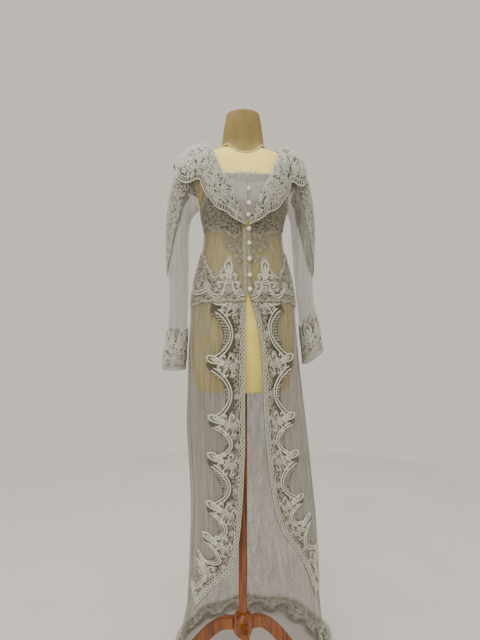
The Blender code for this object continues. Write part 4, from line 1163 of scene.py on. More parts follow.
class Look:
    """A node material, built up step by step."""

    def __init__(self, name, roughness, sheen=0.0, coat=0.0, metallic=0.0):
        self.material = bpy.data.materials.new(name)
        self.material.use_nodes = True
        self.nodes = self.material.node_tree.nodes
        self.links = self.material.node_tree.links
        self.shader = self.nodes["Principled BSDF"]
        self.shader.inputs["Roughness"].default_value = roughness
        self.shader.inputs["Sheen Weight"].default_value = sheen
        self.shader.inputs["Coat Weight"].default_value = coat
        self.shader.inputs["Metallic"].default_value = metallic
        self.where = self.nodes.new("ShaderNodeTexCoord")

    def join(self, value, socket):
        if hasattr(value, "links"):
            self.links.new(value, socket)
        else:
            socket.default_value = value

    def mapped(self, scale, source):
        mapping = self.nodes.new("ShaderNodeMapping")
        mapping.inputs["Scale"].default_value = scale
        self.links.new(self.where.outputs[source], mapping.inputs["Vector"])
        return mapping.outputs["Vector"]

    def noise(self, scale, source="Object", detail=3.0):
        made = self.nodes.new("ShaderNodeTexNoise")
        made.inputs["Scale"].default_value = 1.0
        made.inputs["Detail"].default_value = detail
        self.links.new(self.mapped(scale, source), made.inputs["Vector"])
        return made.outputs["Fac"]

    def cells(self, pitch, source="UV"):
        """0 on the threads of a fine mesh of cells, rising to their middles."""
        made = self.nodes.new("ShaderNodeTexVoronoi")
        made.feature = "DISTANCE_TO_EDGE"
        made.inputs["Scale"].default_value = 1.0
        self.links.new(self.mapped((1.0 / pitch,) * 3, source), made.inputs["Vector"])
        return made.outputs["Distance"]

    def wave(self, pitch, scale=(1.0, 1.0, 1.0), source="UV", distortion=0.0):
        made = self.nodes.new("ShaderNodeTexWave")
        made.inputs["Scale"].default_value = 1.0
        made.inputs["Distortion"].default_value = distortion
        stretched = tuple(value * WAVE_PERIOD / pitch for value in scale)
        self.links.new(self.mapped(stretched, source), made.inputs["Vector"])
        return made.outputs["Fac"]

    def maths(self, operation, first, second):
        made = self.nodes.new("ShaderNodeMath")
        made.operation = operation
        self.join(first, made.inputs[0])
        self.join(second, made.inputs[1])
        return made.outputs["Value"]

    def spread(self, value, low, high, to_low, to_high):
        made = self.nodes.new("ShaderNodeMapRange")
        for socket, number in zip(list(made.inputs)[1:5], (low, high, to_low, to_high)):
            socket.default_value = number
        self.links.new(value, made.inputs["Value"])
        return made.outputs["Result"]

    def colour(self, value, first, second, low=0.3, high=0.7):
        made = self.nodes.new("ShaderNodeValToRGB")
        made.color_ramp.elements[0].position = low
        made.color_ramp.elements[1].position = high
        made.color_ramp.elements[0].color = first
        made.color_ramp.elements[1].color = second
        self.links.new(value, made.inputs["Fac"])
        self.links.new(made.outputs["Color"], self.shader.inputs["Base Color"])

    def bump(self, value, strength, distance):
        made = self.nodes.new("ShaderNodeBump")
        made.inputs["Strength"].default_value = strength
        made.inputs["Distance"].default_value = distance
        self.links.new(value, made.inputs["Height"])
        self.links.new(made.outputs["Normal"], self.shader.inputs["Normal"])

    def alpha(self, value):
        self.links.new(value, self.shader.inputs["Alpha"])


WAVE_PERIOD = 0.1 * math.pi     # a wave texture's own period, in its own units


def net_look(name, first, second, thin, thick):
    """Soft tulle: a mesh of threads, gathered in uneven upright streaks."""
    look = Look(name, 0.62, sheen=0.35)
    streak = look.noise((210.0, 210.0, 5.0))
    wide = look.noise((60.0, 60.0, 2.5))
    both = look.maths("ADD", look.spread(streak, 0.32, 0.68, thin, thick),
                      look.spread(wide, 0.30, 0.70, -0.09, 0.09))
    thread = look.spread(look.cells(0.0017), 0.02, 0.32, 0.22, -0.16)
    look.alpha(look.maths("ADD", both, thread))
    look.colour(streak, first, second)
    look.bump(streak, 0.35, 0.0012)
    return look.material


def lace_ground_look(name, first, second, thin, thick):
    """Lace ground: fine cells, in places filled close with stitches."""
    look = Look(name, 0.58, sheen=0.25)
    patch = look.noise((260.0, 260.0, 260.0), detail=2.0)
    thread = look.spread(look.cells(0.0021), 0.02, 0.26, 0.30, -0.22)
    filled = look.spread(patch, 0.40, 0.62, thin, thick)
    look.alpha(look.maths("ADD", filled, thread))
    look.colour(look.noise((420.0, 420.0, 420.0)), first, second)
    look.bump(look.maths("ADD", patch, look.cells(0.0021)), 0.55, 0.0009)
    return look.material


def thread_look(name, first, second, roughness, stitch, sheen=0.30):
    """Satin stitches side by side, with an uneven tone and painted shade in the grooves between the
    stitch rows.
    """
    look = Look(name, roughness, sheen=sheen)
    tone = look.noise((160.0, 160.0, 160.0), detail=4.0)
    rows = look.wave(stitch, (1.0, 0.35, 1.0), distortion=1.2)
    # the stitch-row wave of the bump also darkens the colour in its grooves: painted shade
    look.colour(look.maths("ADD", look.maths("MULTIPLY", tone, 0.75),
                           look.maths("MULTIPLY", rows, 0.25)), first, second)
    look.bump(rows, 0.50, 0.0005)
    return look.material


def seed_look():
    look = Look("seed_beads", 0.16, coat=0.5, metallic=0.35)
    look.colour(look.noise((520.0, 520.0, 520.0), detail=1.0),
                shade(176, 170, 150), shade(240, 238, 226))
    return look.material


def pearl_look():
    look = Look("pearl", 0.24, sheen=0.10, coat=0.55)
    look.colour(look.noise((180.0, 180.0, 180.0)), shade(214, 207, 190), shade(244, 240, 228))
    look.bump(look.noise((900.0, 900.0, 900.0)), 0.05, 0.0002)
    return look.material


def jersey_look(name, first, second):
    """Fine knitted cover pulled over the padded form."""
    look = Look(name, 0.78, sheen=0.06)
    mottled = look.noise((26.0, 26.0, 14.0), detail=5.0)
    look.colour(mottled, first, second)
    rib = look.wave(0.0016, (1.0, 0.0, 0.0))
    course = look.wave(0.0012, (0.0, 1.0, 0.0), distortion=0.5)
    look.bump(look.maths("MULTIPLY", rib, course), 0.45, 0.0005)
    return look.material


def wood_look():
    look = Look("stained_wood", 0.34, coat=0.35)
    grain = look.noise((90.0, 90.0, 9.0), detail=6.0)
    look.colour(grain, shade(70, 32, 8), shade(176, 98, 32), 0.28, 0.74)
    look.bump(grain, 0.18, 0.0008)
    return look.material


NET = net_look("body_net", shade(96, 92, 78), shade(150, 145, 130), 0.42, 0.64)
SLEEVE_NET = net_look("sleeve_net", shade(136, 132, 120), shade(186, 182, 170), 0.20, 0.42)
# dark, fairly opaque lace ground: partly a dark lining, partly painted shade seen through the lace's
# gaps
GROUND_WITH_PAINTED_SHADE = lace_ground_look("lace_ground", shade(66, 61, 46), shade(100, 95, 76), 0.34, 0.78)
# darkest, densest ground: painted shade under the standing collar's lace, partly its own dark ground
COLLAR_GROUND_PAINTED_SHADE = lace_ground_look("collar_ground_painted_shade", shade(50, 46, 32), shade(92, 88, 70), 0.62, 0.94)
SLEEVE_GROUND = lace_ground_look("sleeve_ground", shade(104, 100, 84),
                                 shade(140, 136, 120), 0.16, 0.56)
BORDER_GROUND = lace_ground_look("border_ground", shade(56, 51, 37), shade(94, 89, 70), 0.50, 0.86)
SEEDS = seed_look()
OLIVE_LOOKS = [
    thread_look("olive_thread", shade(122, 116, 96), shade(184, 179, 160), 0.48, 0.0011),
    thread_look("silver_cord", shade(184, 180, 160), shade(230, 228, 214), 0.40, 0.0014),
    thread_look("corded_motif", shade(160, 155, 134), shade(212, 208, 190), 0.44, 0.0012),
    SEEDS,
]
# darker copies of the olive thread looks: painted shade on the bodice lace over the form
SHADED_BODICE_LOOKS = [
    thread_look("bodice_thread_painted_shade", shade(104, 98, 78), shade(168, 163, 143), 0.50, 0.0011),
    thread_look("bodice_cord_painted_shade", shade(142, 137, 116), shade(198, 194, 176), 0.44, 0.0014),
    thread_look("bodice_motif_painted_shade", shade(122, 116, 96), shade(184, 179, 160), 0.46, 0.0012),
    SEEDS,
]
PALE_LOOKS = [
    thread_look("pale_thread", shade(156, 154, 136), shade(216, 215, 202), 0.46, 0.0011),
    thread_look("pale_cord", shade(168, 166, 149), shade(218, 217, 204), 0.42, 0.0014),
    thread_look("pale_motif", shade(158, 156, 138), shade(214, 213, 200), 0.44, 0.0012),
    SEEDS,
]
INSET = thread_look("inset_chiffon", shade(146, 143, 137),
                    shade(186, 183, 178), 0.66, 0.0040, 0.40)
TUFT = thread_look("inset_tufts", shade(152, 149, 144), shade(206, 203, 200), 0.60, 0.0010, 0.40)
PLACKET = thread_look("placket_satin", shade(124, 119, 101), shade(164, 160, 142), 0.45, 0.0013)
CHEST = jersey_look("form_jersey", shade(238, 214, 104), shade(250, 231, 130))
# the neck cover is the jersey made darker and browner: partly its own tan, partly painted shade for
# the upright neck under the top light
NECK_WITH_PAINTED_SHADE = jersey_look("neck_cover_painted_shade", shade(124, 105, 56), shade(150, 130, 76))
PIPING = jersey_look("neck_piping", shade(196, 178, 118), shade(218, 202, 146))
WOOD = wood_look()


# Dress form and stand


def turned(name, profile, sides, look, node, slot):
    """A closed turned piece through (height, half width, half depth, middle y) rows."""
    angles = np.linspace(0.0, 2.0 * math.pi, sides, endpoint=False)
    points = []
    for height, half_width, half_depth, middle in profile:
        for angle in angles:
            points.append((half_width * math.sin(angle), middle - half_depth * math.cos(angle),
                           height))
    return closed_stack(name, np.array(points), len(profile), sides, look, node, slot)


def closed_stack(name, points, rings, sides, look, node, slot):
    faces = [tuple(range(sides - 1, -1, -1))]
    for i in range(rings - 1):
        for j in range(sides):
            a, b = i * sides + j, i * sides + (j + 1) % sides
            faces.append((a, b, b + sides, a + sides))
    top = (rings - 1) * sides
    faces.append(tuple(range(top, top + sides)))
    mesh = bpy.data.meshes.new(name)
    mesh.from_pydata((points + AXIS).tolist(), [], faces)
    mesh.materials.append(look)
    layer = mesh.uv_layers.new(name="cloth")
    reach = np.linalg.norm(points[:, :2], axis=1).mean()
    for corner in mesh.loops:
        x, y, z = points[corner.vertex_index]
        layer.data[corner.index].uv = (math.atan2(x, -y) * reach, z)
    mesh.update()
    mesh.shade_smooth()
    mesh.set_sharp_from_angle(angle=math.radians(40.0))
    shape = bpy.data.objects.new(name, mesh)
    bpy.context.scene.collection.objects.link(shape)
    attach(shape, "root")
    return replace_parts(shape, node)


def rounded(low, high, steps):
    """Heights and shares in of a rounded edge, as quarter circle steps."""
    return [(low + (high - low) * math.sin(0.5 * math.pi * k / steps),
             1.0 - math.cos(0.5 * math.pi * k / steps)) for k in range(1, steps + 1)]


def build_form():
    sides = 96
    heights = np.concatenate((np.linspace(0.930, 1.600, 70), np.linspace(1.607, 1.656, 18)))
    points = []
    for inset, drop in ((0.92, 0.0080), (0.96, 0.0066), (0.985, 0.0038)):
        for k in range(sides):
            turn = 2.0 * math.pi * k / sides
            radius = FORM.radius(turn, 0.930) * inset
            points.append((radius * math.sin(turn), -radius * math.cos(turn), 0.930 - drop))
    for height in heights:
        for k in range(sides):
            turn = 2.0 * math.pi * k / sides
            seam = min(abs(math.sin(0.5 * (turn - place))) for place in FORM_SEAMS)
            groove = FORM_SEAM_DEPTH * math.exp(-(seam * 0.24 / 0.0018) ** 2)
            radius = FORM.radius(turn, height) - groove
            points.append((radius * math.sin(turn), -radius * math.cos(turn), height))
    top = NECK_SEAM - SEAM_GAP
    for share in (0.35, 0.75, 1.0):
        for k in range(sides):
            turn = 2.0 * math.pi * k / sides
            radius = FORM.radius(turn, 1.656)
            x = lerp(radius * math.sin(turn), 0.0700 * math.sin(turn), share)
            y = lerp(-radius * math.cos(turn), 0.005 - 0.0600 * math.cos(turn), share)
            points.append((x, y, lerp(1.656, top, share)))
    rings = 3 + len(heights) + 3
    closed_stack("form_cover", np.array(points), rings, sides, CHEST, "form_torso", "jersey")

    points = []
    for k in range(sides):
        points.append(cover_edge(2.0 * math.pi * k / sides, 0.0010))
    neck = [(NECK_SEAM + 0.010, 0.0668, 0.0580, 0.0047), (NECK_SEAM + 0.022, 0.0653, 0.0574, 0.0045),
            (NECK_SEAM + 0.045, 0.0622, 0.0562, 0.0037), (NECK_SEAM + 0.070, 0.0590, 0.0550, 0.0030),
            (NECK_TOP - 0.004, 0.0522, 0.0517, 0.0020)]
    for height, share in rounded(NECK_TOP - 0.004, NECK_TOP, 4):
        neck.append((height, 0.0522 - 0.0032 * share, 0.0517 - 0.0032 * share, 0.0020))
    for height, half_width, half_depth, middle in neck:
        for k in range(sides):
            turn = 2.0 * math.pi * k / sides
            points.append((half_width * math.sin(turn), middle - half_depth * math.cos(turn),
                           height))
    closed_stack("neck_cover_painted_shade", np.array(points), 1 + len(neck), sides, NECK_WITH_PAINTED_SHADE, "neck_block",
                 "jersey")
    ring = ring_tube(0.0024)
    piping = add_piece("neck_piping", ring[0] + AXIS, ring[1], [PIPING], ring[2])


def cover_edge(turn, lift):
    """Lower edge of the neck cover, where it meets the chest and the shoulders."""
    front = 0.5 * (1.0 + math.cos(turn))
    depth = lerp(0.0600, COVER_FRONT, front)
    reach = 1.0 / math.hypot(math.sin(turn) / 0.0690, math.cos(turn) / depth)
    low, high = 1.600, NECK_SEAM + 0.001
    for step in range(24):
        middle = 0.5 * (low + high)
        if FORM.radius(turn, middle) > reach:
            low = middle
        else:
            high = middle
    reach += lift
    return reach * math.sin(turn), -reach * math.cos(turn), low


COVER_FRONT = 0.0665          # how far the neck cover's edge comes forward on the chest
FORM_SEAMS = (0.0, math.radians(33.0), math.radians(-33.0), math.pi, 0.5 * math.pi,
              -0.5 * math.pi, math.radians(147.0), math.radians(-147.0))
FORM_SEAM_DEPTH = 0.0009


def ring_tube(radius):
    """Points, faces and spots of the thin cord along the neck cover's edge."""
    around, sides = 120, 8
    points = []
    spots = []
    for i in range(around + 1):
        turn = 2.0 * math.pi * i / around
        middle = Vector(cover_edge(turn, 0.6 * radius))
        out = Vector((math.sin(turn), -math.cos(turn), 0.0))
        for j in range(sides + 1):
            angle = 2.0 * math.pi * j / sides
            up = Vector((0.0, 0.0, radius * math.sin(angle)))
            points.append(tuple(middle + out * (radius * math.cos(angle)) + up))
            spots.append((turn * 0.068, angle * radius))
    return np.array(points), grid_faces(around + 1, sides + 1), np.array(spots)


def build_stand():
    bottom, top = HUB_TOP + SEAM_GAP, TORSO_BOTTOM - 0.008 - SEAM_GAP
    pole = [(bottom, POLE_RADIUS, POLE_RADIUS, 0.0)]
    pole += [(z, POLE_RADIUS - 0.0004 * math.sin(9.0 * z) ** 2, POLE_RADIUS, 0.0)
             for z in np.linspace(bottom + 0.004, top - 0.004, 24)]
    pole.append((top, POLE_RADIUS, POLE_RADIUS, 0.0))
    turned("pole_wood", pole, 40, WOOD, "stand_pole", "wood")
    hub = ((HUB_BOTTOM, 0.55), (HUB_BOTTOM + 0.004, 0.72), (HUB_BOTTOM + 0.012, 0.90),
           (HUB_BOTTOM + 0.018, 0.975), (HUB_BOTTOM + 0.024, 1.0), (HUB_TOP - 0.030, 1.0),
           (HUB_TOP - 0.027, 0.955), (HUB_TOP - 0.024, 0.955), (HUB_TOP - 0.021, 1.0),
           (HUB_TOP - 0.016, 0.99), (HUB_TOP - 0.010, 0.93), (HUB_TOP - 0.005, 0.83),
           (HUB_TOP, 0.62))
    turned("hub_wood", [(z, HUB_RADIUS * s, HUB_RADIUS * s, 0.0) for z, s in hub],
           56, WOOD, "stand_hub", "wood")
    start = (HUB_RADIUS + SEAM_GAP) / LEG_REACH
    shares = (start, 0.30, 0.50, 0.72, 0.90, 0.97, 1.0)
    top_height = Curve(shares, (0.204, 0.196, 0.166, 0.112, 0.056, 0.030, 0.018))
    knots = np.linspace(0.0, 1.0, 7)
    top_share = Curve(knots, shares)
    low_share = Curve(knots, (start, 0.27, 0.43, 0.62, 0.80, 0.915, 1.0))
    low_height = Curve(knots, (0.166, 0.158, 0.128, 0.078, 0.026, 0.0, 0.0))
    corner = 0.0035
    for number, heading in enumerate((0.0, 120.0, 240.0), 1):
        turn = math.radians(heading)
        points = []
        for t in np.linspace(0.0, 1.0, 46):
            low = np.array((low_share(t) * LEG_REACH, low_height(t)))
            high = np.array((top_share(t) * LEG_REACH, top_height(top_share(t))))
            up = (high - low) / np.linalg.norm(high - low)
            half = 0.5 * LEG_WIDTH
            for x, spot in ((-half + corner, low), (half - corner, low),
                            (half, low + corner * up), (half, high - corner * up),
                            (half - corner, high), (-half + corner, high),
                            (-half, high - corner * up), (-half, low + corner * up)):
                y, z = -spot[0], spot[1]
                points.append((x * math.cos(turn) - y * math.sin(turn),
                               x * math.sin(turn) + y * math.cos(turn), z))
        closed_stack("leg_wood_%d" % number, np.array(points), 46, 8, WOOD,
                     "stand_leg_%d" % number, "wood")


# Net cloth


def crease(turns, heights):
    """Depth of the small uneven upright folds of the net."""
    loose = 1.0 - soft(0.98, 1.16, heights)
    first = np.sin(61.0 * turns + 1.7 * np.sin(5.0 * turns) + 0.8 * np.sin(3.1 * heights))
    second = np.sin(97.0 * turns + 2.0 * np.sin(3.0 * turns + 2.3 * heights))
    depth = 0.0003 + 0.0030 * loose * soft(-0.10, 0.10, heights)
    return depth * (0.5 + 0.30 * first + 0.20 * second)


def net_panel(name, node, rows, side):
    """A net panel through rows of (turn, height), folded inwards only."""
    places = np.array(rows)
    points = np.array([[tuple(cloth_point(side * t, h)) for t, h in row] for row in rows])
    normals = normals_of(points, (0.0, 0.0, 0.8))
    depth = 0.5 * TULLE + crease(side * places[:, :, 0], places[:, :, 1])
    spots = np.stack((side * places[:, :, 0] * 0.17, places[:, :, 1]), axis=2)
    shape = grid_piece(name, points - normals * depth[:, :, None] + AXIS, [NET], spots)
    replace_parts(shape, node)
    return shape


def build_net():
    lower, upper = even(120), even(28)
    for side, name in ((-1, "front_right"), (1, "front_left")):
        rows = front_grid(side, even(96), lower, upper)
        net_panel("net_" + name, name, rows, side)
    rows = back_grid(even(200), lower, upper)
    net_panel("net_back", "back_panel", rows, 1)


def sleeve_crease(step, angle):
    """Small upright folds of a sleeve, and a few soft bends at the elbow."""
    upright = math.sin(19.0 * angle + 1.3 * math.sin(0.9 * step)) * 0.5
    upright += math.sin(31.0 * angle + 0.5 * step) * 0.3
    bend = math.sin(5.2 * step + 1.4 * math.sin(angle)) * math.exp(-((step - 5.4) / 1.3) ** 2)
    return -0.0013 + 0.0007 * upright + 0.0006 * bend


def build_sleeves():
    for side, tail in ((-1, "right"), (1, "left")):
        last = len(SLEEVE_RINGS[side]) - 1.0
        steps = np.concatenate((np.linspace(-1.0, 0.0, 10, endpoint=False),
                                np.linspace(0.0, last, 120)))
        angles = np.linspace(0.0, 2.0 * math.pi, 97)
        points = np.array([
            [tuple(sleeve_point(side, step, angle, sleeve_crease(step, angle)))
             for angle in angles] for step in steps
        ])
        down = np.array(lengths_of([sleeve_point(side, step, math.pi) for step in steps]))
        spots = np.stack(np.broadcast_arrays(angles[None, :] * 0.044, -down[:, None]), axis=2)
        shape = grid_piece("net_sleeve_" + tail, points + AXIS, [SLEEVE_NET], spots)
        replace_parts(shape, "sleeve_" + tail)


# Lace


def limits_of(spans):
    """Lower and upper outline of a lace piece, by the share across its panel."""
    across = [row.across for row in spans]
    shares = np.linspace(across[0], across[-1], 120)
    low_curve = Curve(across, [row.low for row in spans])
    high_curve = Curve(across, [row.high for row in spans])
    lows = np.array([low_curve(share) for share in shares])
    highs = np.array([high_curve(share) for share in shares])
    return shares, lows, highs


def lace_piece(name, node, chart, spans, work, looks, ground_look,
               pitch=0.0105, scallop=0.016):
    """Lace between two outlines: a shell of ground, all-over blossom and corded edges."""
    shares, lows, highs = limits_of(spans)
    middle = chart.width(0.5 * (lows + highs))
    wave = 0.0050 * np.abs(np.sin(math.pi * shares * middle / scallop))
    wave = wave * (0.65 + 0.35 * np.sin(37.0 * shares))
    low_edge, high_edge = lows + 0.0050 - wave, highs - 0.0050 + wave
    rows = []
    for t in np.linspace(0.0, 1.0, 24):
        heights = low_edge * (1.0 - t) + high_edge * t
        rows.append(np.stack((shares * chart.width(heights), heights), axis=1))
    spots = np.array(rows)
    shape = ground_piece(name, chart, spots, 0.0010, ground_look)
    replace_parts(shape, node)

    def inside(u, v):
        share = u / chart.width(v)
        low, high = np.interp(share, shares, low_edge), np.interp(share, shares, high_edge)
        kept = (share > shares[0] + 0.01) & (share < shares[-1] - 0.005)
        return kept & (v > low + 0.002) & (v < high - 0.002)

    reach = chart.widths.max()
    blossom(work, inside, ((0.0, reach), (lows.min(), highs.max())), pitch)
    for heights in (low_edge, high_edge):
        flowered_edge(work, np.column_stack((shares * chart.width(heights), heights)), pitch)
    motifs = work.finish(name + "_motifs", chart, looks)
    return shape


def flowered_edge(work, line, pitch):
    """Uneven flowers and leaves that stand a little over an edge."""
    run = lengths_of([Vector((u, v, 0.0)) for u, v in line])
    places = np.arange(0.3 * pitch, run[-1], 0.82 * pitch)
    spots = np.column_stack([np.interp(places, run, line[:, k]) for k in (0, 1)])
    spots += work.random.uniform(-0.16 * pitch, 0.16 * pitch, spots.shape)
    number = len(spots)
    work.stamp(FLOWER, spots, pitch * work.random.uniform(0.38, 0.62, number),
               work.random.uniform(0.0, 6.28, number), CORDED)
    work.stamp(BEAD, spots[::2], 0.0012, 0.0, SEED)
    work.stamp(LEAF, spots[1::2], 0.70 * pitch,
               work.random.uniform(0.0, 6.28, len(spots[1::2])), THREAD)


def ground_piece(name, chart, spots, lift, look):
    flat = spots.reshape(-1, 2)
    lifted = np.column_stack((flat, np.full(len(flat), lift)))
    points = chart.place(lifted).reshape(spots.shape[0], spots.shape[1], 3)
    return grid_piece(name, points, [look], spots)


def hip_motifs(work, width):
    """Looped fleur on the hip, with paired swags to centre front and to the side."""
    fleur(work, (0.060, 1.234), 0.074, 0.5 * math.pi)
    for shift in (0.0, 0.0085):
        work.cord(bow((0.050, 1.246 - shift), (0.006, 1.206 - shift), 0.012), 0.0032, 0.0018)
        side = bow((0.074, 1.244 - shift), (0.128, 1.232 - shift), -0.030)
        work.cord(side, 0.0032, 0.0018)
        far = bow((0.128, 1.232 - shift), (width - 0.006, 1.262 - shift), -0.026)
        work.cord(far, 0.0032, 0.0018)
    work.stamp(ROSETTE, [(0.128, 1.236), (0.100, 1.224), (0.160, 1.240), (0.026, 1.222)],
               (0.0125, 0.0075, 0.0085, 0.0070), 0.4, CORDED)
    work.stamp(BEAD, [(0.128, 1.236), (0.100, 1.224), (0.160, 1.240)], 0.0026, 0.0, SEED)


def build_front_lace():
    for side, tail in ((-1, "right"), (1, "left")):
        hip = front_chart(side, 1.165, 1.350)
        work = Needlework(0.0016, 11 + side)
        hip_motifs(work, float(hip.width(1.24)))
        lace_piece("hip_ground_" + tail, "hip_lace_" + tail, hip, HIP_LACE_SPAN, work,
                   OLIVE_LOOKS, GROUND_WITH_PAINTED_SHADE)
        bust = front_chart(side, 1.300, 1.550)
        work = Needlework(0.0016, 21 + side)
        low = [(u, v) for u, v in ((0.016, 1.318), (0.024, 1.304), (0.034, 1.320),
                                   (0.044, 1.340), (0.020, 1.334), (0.056, 1.352))]
        work.stamp(ROSETTE, low, (0.0085, 0.0060, 0.0070, 0.0080, 0.0075, 0.0065), 0.5, CORDED)
        work.stamp(BEAD, low, 0.0017, 0.0, SEED)
        for lean, spot in zip((2.2, 1.0, 2.7, 0.4, 1.9), low):
            work.stamp(LEAF, [spot], 0.011, lean, CORDED)
        for middle, reach in (((0.052, 1.366), 0.024), ((0.020, 1.352), 0.017)):
            def near(u, v, middle=middle, reach=reach):
                return np.hypot(u - middle[0], v - middle[1]) < reach
            blossom(work, near, ((0.004, 0.08), (1.310, 1.400)), 0.0105)
        shown = tuple(row._replace(low=max(row.low, low))
                      for row, low in zip(BODICE_LACE_SPAN, BODICE_EDGE))
        lace_piece("bodice_ground_" + tail, "bodice_lace_" + tail, bust, shown, work,
                   SHADED_BODICE_LOOKS, GROUND_WITH_PAINTED_SHADE)


BODICE_EDGE = (1.384, 1.378, 1.386, 1.392, 1.400, 1.420, 1.412, 1.414)


def build_back_lace():
    bust = back_chart(1.330, 1.560)
    lace_piece("bodice_ground_back", "bodice_lace_back", bust, BACK_BODICE_SPAN,
               Needlework(0.0016, 31), OLIVE_LOOKS, GROUND_WITH_PAINTED_SHADE)
    hip = back_chart(1.110, 1.360)
    work = Needlework(0.0016, 41)
    middle = 0.5 * float(hip.width(1.22))
    fleur(work, (middle, 1.216), 0.086, 0.5 * math.pi)
    for way in (-1.0, 1.0):
        fleur(work, (middle + 0.118 * way, 1.224), 0.058, 0.5 * math.pi)
        for shift in (0.0, 0.0085):
            work.cord(bow((middle + 0.030 * way, 1.200 - shift),
                          (middle + 0.106 * way, 1.214 - shift), -0.024 * way), 0.0032, 0.0018)
            work.cord(bow((middle + 0.130 * way, 1.214 - shift),
                          (middle + 0.205 * way, 1.236 - shift), -0.024 * way), 0.0032, 0.0018)
    lace_piece("hip_ground_back", "hip_lace_back", hip, BACK_HIP_SPAN, work,
               OLIVE_LOOKS, GROUND_WITH_PAINTED_SHADE)


def border_ground(name, node, chart, total, width_at, look, work, looks):
    """A border's ground out to its width, with its needlework already drawn."""
    vs = np.linspace(0.0, total, 240)
    inner = np.array([width_at(v) for v in vs])
    inner = inner - 0.002 + 0.002 * np.abs(np.sin(math.pi * vs / 0.014))
    outer = 0.0010 + 0.0020 * np.abs(np.sin(math.pi * vs / 0.0125))
    shares = np.linspace(0.0, 1.0, 16)
    u = outer[:, None] * (1.0 - shares) + inner[:, None] * shares
    spots = np.stack((u, np.broadcast_to(vs[:, None], u.shape)), axis=2)
    shape = ground_piece(name, chart, spots, 0.0010, look)
    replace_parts(shape, node)
    motifs = work.finish(name + "_motifs", chart, looks)
    return shape


FLEUR_SHARES = (0.012, 0.197, 0.378, 0.500, 0.650, 0.757, 0.882, 0.990)


def build_borders():
    for side, tail in ((-1, "right"), (1, "left")):
        chart, total = border_chart(side)
        rows = BORDER_WIDTHS[side]
        width = Curve([row.along for row in rows], [row.width for row in rows])
        work = Needlework(0.0028, 51 + side)
        band(work, total, [share * total for share in FLEUR_SHARES],
             lambda v: width(v / total))
        border_ground("border_ground_" + tail, "border_lace_" + tail, chart, total,
                      lambda v: width(v / total), BORDER_GROUND,
                      work, OLIVE_LOOKS)


def build_train_lace():
    chart, total = train_chart()
    work = Needlework(0.0018, 61)
    fleurs = list(np.linspace(0.03, total - 0.03, 9))

    def width_at(v):
        return 0.096 + 0.022 * math.cos(2.0 * math.pi * (v - 0.03) / ((total - 0.06) / 8.0))

    band(work, total, fleurs, width_at)
    border_ground("train_ground", "train_lace", chart, total, width_at, GROUND_WITH_PAINTED_SHADE,
                  work, OLIVE_LOOKS)


def build_sleeve_lace():
    for side, tail in ((-1, "right"), (1, "left")):
        chart = sleeve_chart(side, 5.6, 0.0, math.radians(96.0))
        top = chart.vs[-1]
        spans = tuple(Span(share, top * low, top * high) for share, low, high in SLEEVE_SPAN)
        work = Needlework(0.0014, 71 + side)
        lace_piece("sleeve_ground_" + tail, "sleeve_lace_" + tail, chart, spans, work,
                   PALE_LOOKS, GROUND_WITH_PAINTED_SHADE,
                   pitch=0.0108)
        cuff, total = cuff_chart(side)
        work = Needlework(0.0014, 81 + side)

        def width_at(v, total=total):
            return 0.128 + 0.018 * math.cos(2.0 * math.pi * 4.0 * v / total)

        band(work, total, list(np.linspace(0.0, total, 5)), width_at)
        border_ground("cuff_ground_" + tail, "cuff_lace_" + tail, cuff, total, width_at,
                      SLEEVE_GROUND, work,
                      PALE_LOOKS)


Span = namedtuple("Span", "across low high")
SLEEVE_SPAN = (
    (0.00, 0.70, 0.99), (0.08, 0.50, 1.00), (0.18, 0.27, 1.00), (0.30, 0.12, 1.00),
    (0.42, 0.03, 1.00), (0.50, 0.00, 1.00), (0.58, 0.03, 1.00), (0.70, 0.12, 1.00),
    (0.82, 0.27, 1.00), (0.92, 0.50, 1.00), (1.00, 0.70, 0.99),
)


def build_collar():
    for side, tail in ((-1, "right"), (1, "left")):
        chart, total = collar_chart(side)
        vs = np.linspace(0.0, total, 230)
        widths = chart.width(vs)
        shares = np.linspace(0.0, 1.0, 30)
        u = widths[:, None] * shares
        spots = np.stack((u, np.broadcast_to(vs[:, None], u.shape)), axis=2)
        shape = ground_piece("collar_ground_painted_shade_" + tail, chart, spots, 0.0, COLLAR_GROUND_PAINTED_SHADE)
        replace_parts(shape, "collar_" + tail)
        work = Needlework(0.0006, 91 + side)

        def inside(u, v, chart=chart):
            return (u > 0.002) & (u < chart.width(v) - 0.0145)

        work.cord(np.column_stack((widths - 0.0018, vs)), 0.0026, 0.0018)
        work.cord(np.column_stack((widths - 0.0135, vs)), 0.0018, 0.0012)
        places = np.arange(0.006, total - 0.004, 0.0088)
        rings = np.column_stack((chart.width(places) - 0.0076, places))
        work.stamp(RING, rings, 0.0038, 0.0, CORDED)
        work.stamp(BEAD, rings, 0.0013, 0.0, SEED)
        work.cord(np.column_stack((0.0020 + 0.0 * vs, vs)), 0.0022, 0.0014)
        reach = chart.widths.max()
        large = scatter(work, inside, ((0.008, reach), (0.02, total - 0.01)), 0.027)
        work.stamp(ROSETTE, large, 0.0125, work.random.uniform(0.0, 6.28, len(large)), CORDED)
        work.stamp(BEAD, large, 0.0024, 0.0, SEED)
        blossom(work, inside, ((0.0, reach), (0.0, total)), 0.0122)
        motifs = work.finish("collar_motifs_" + tail, chart, PALE_LOOKS)


# Inset, plackets and pearls


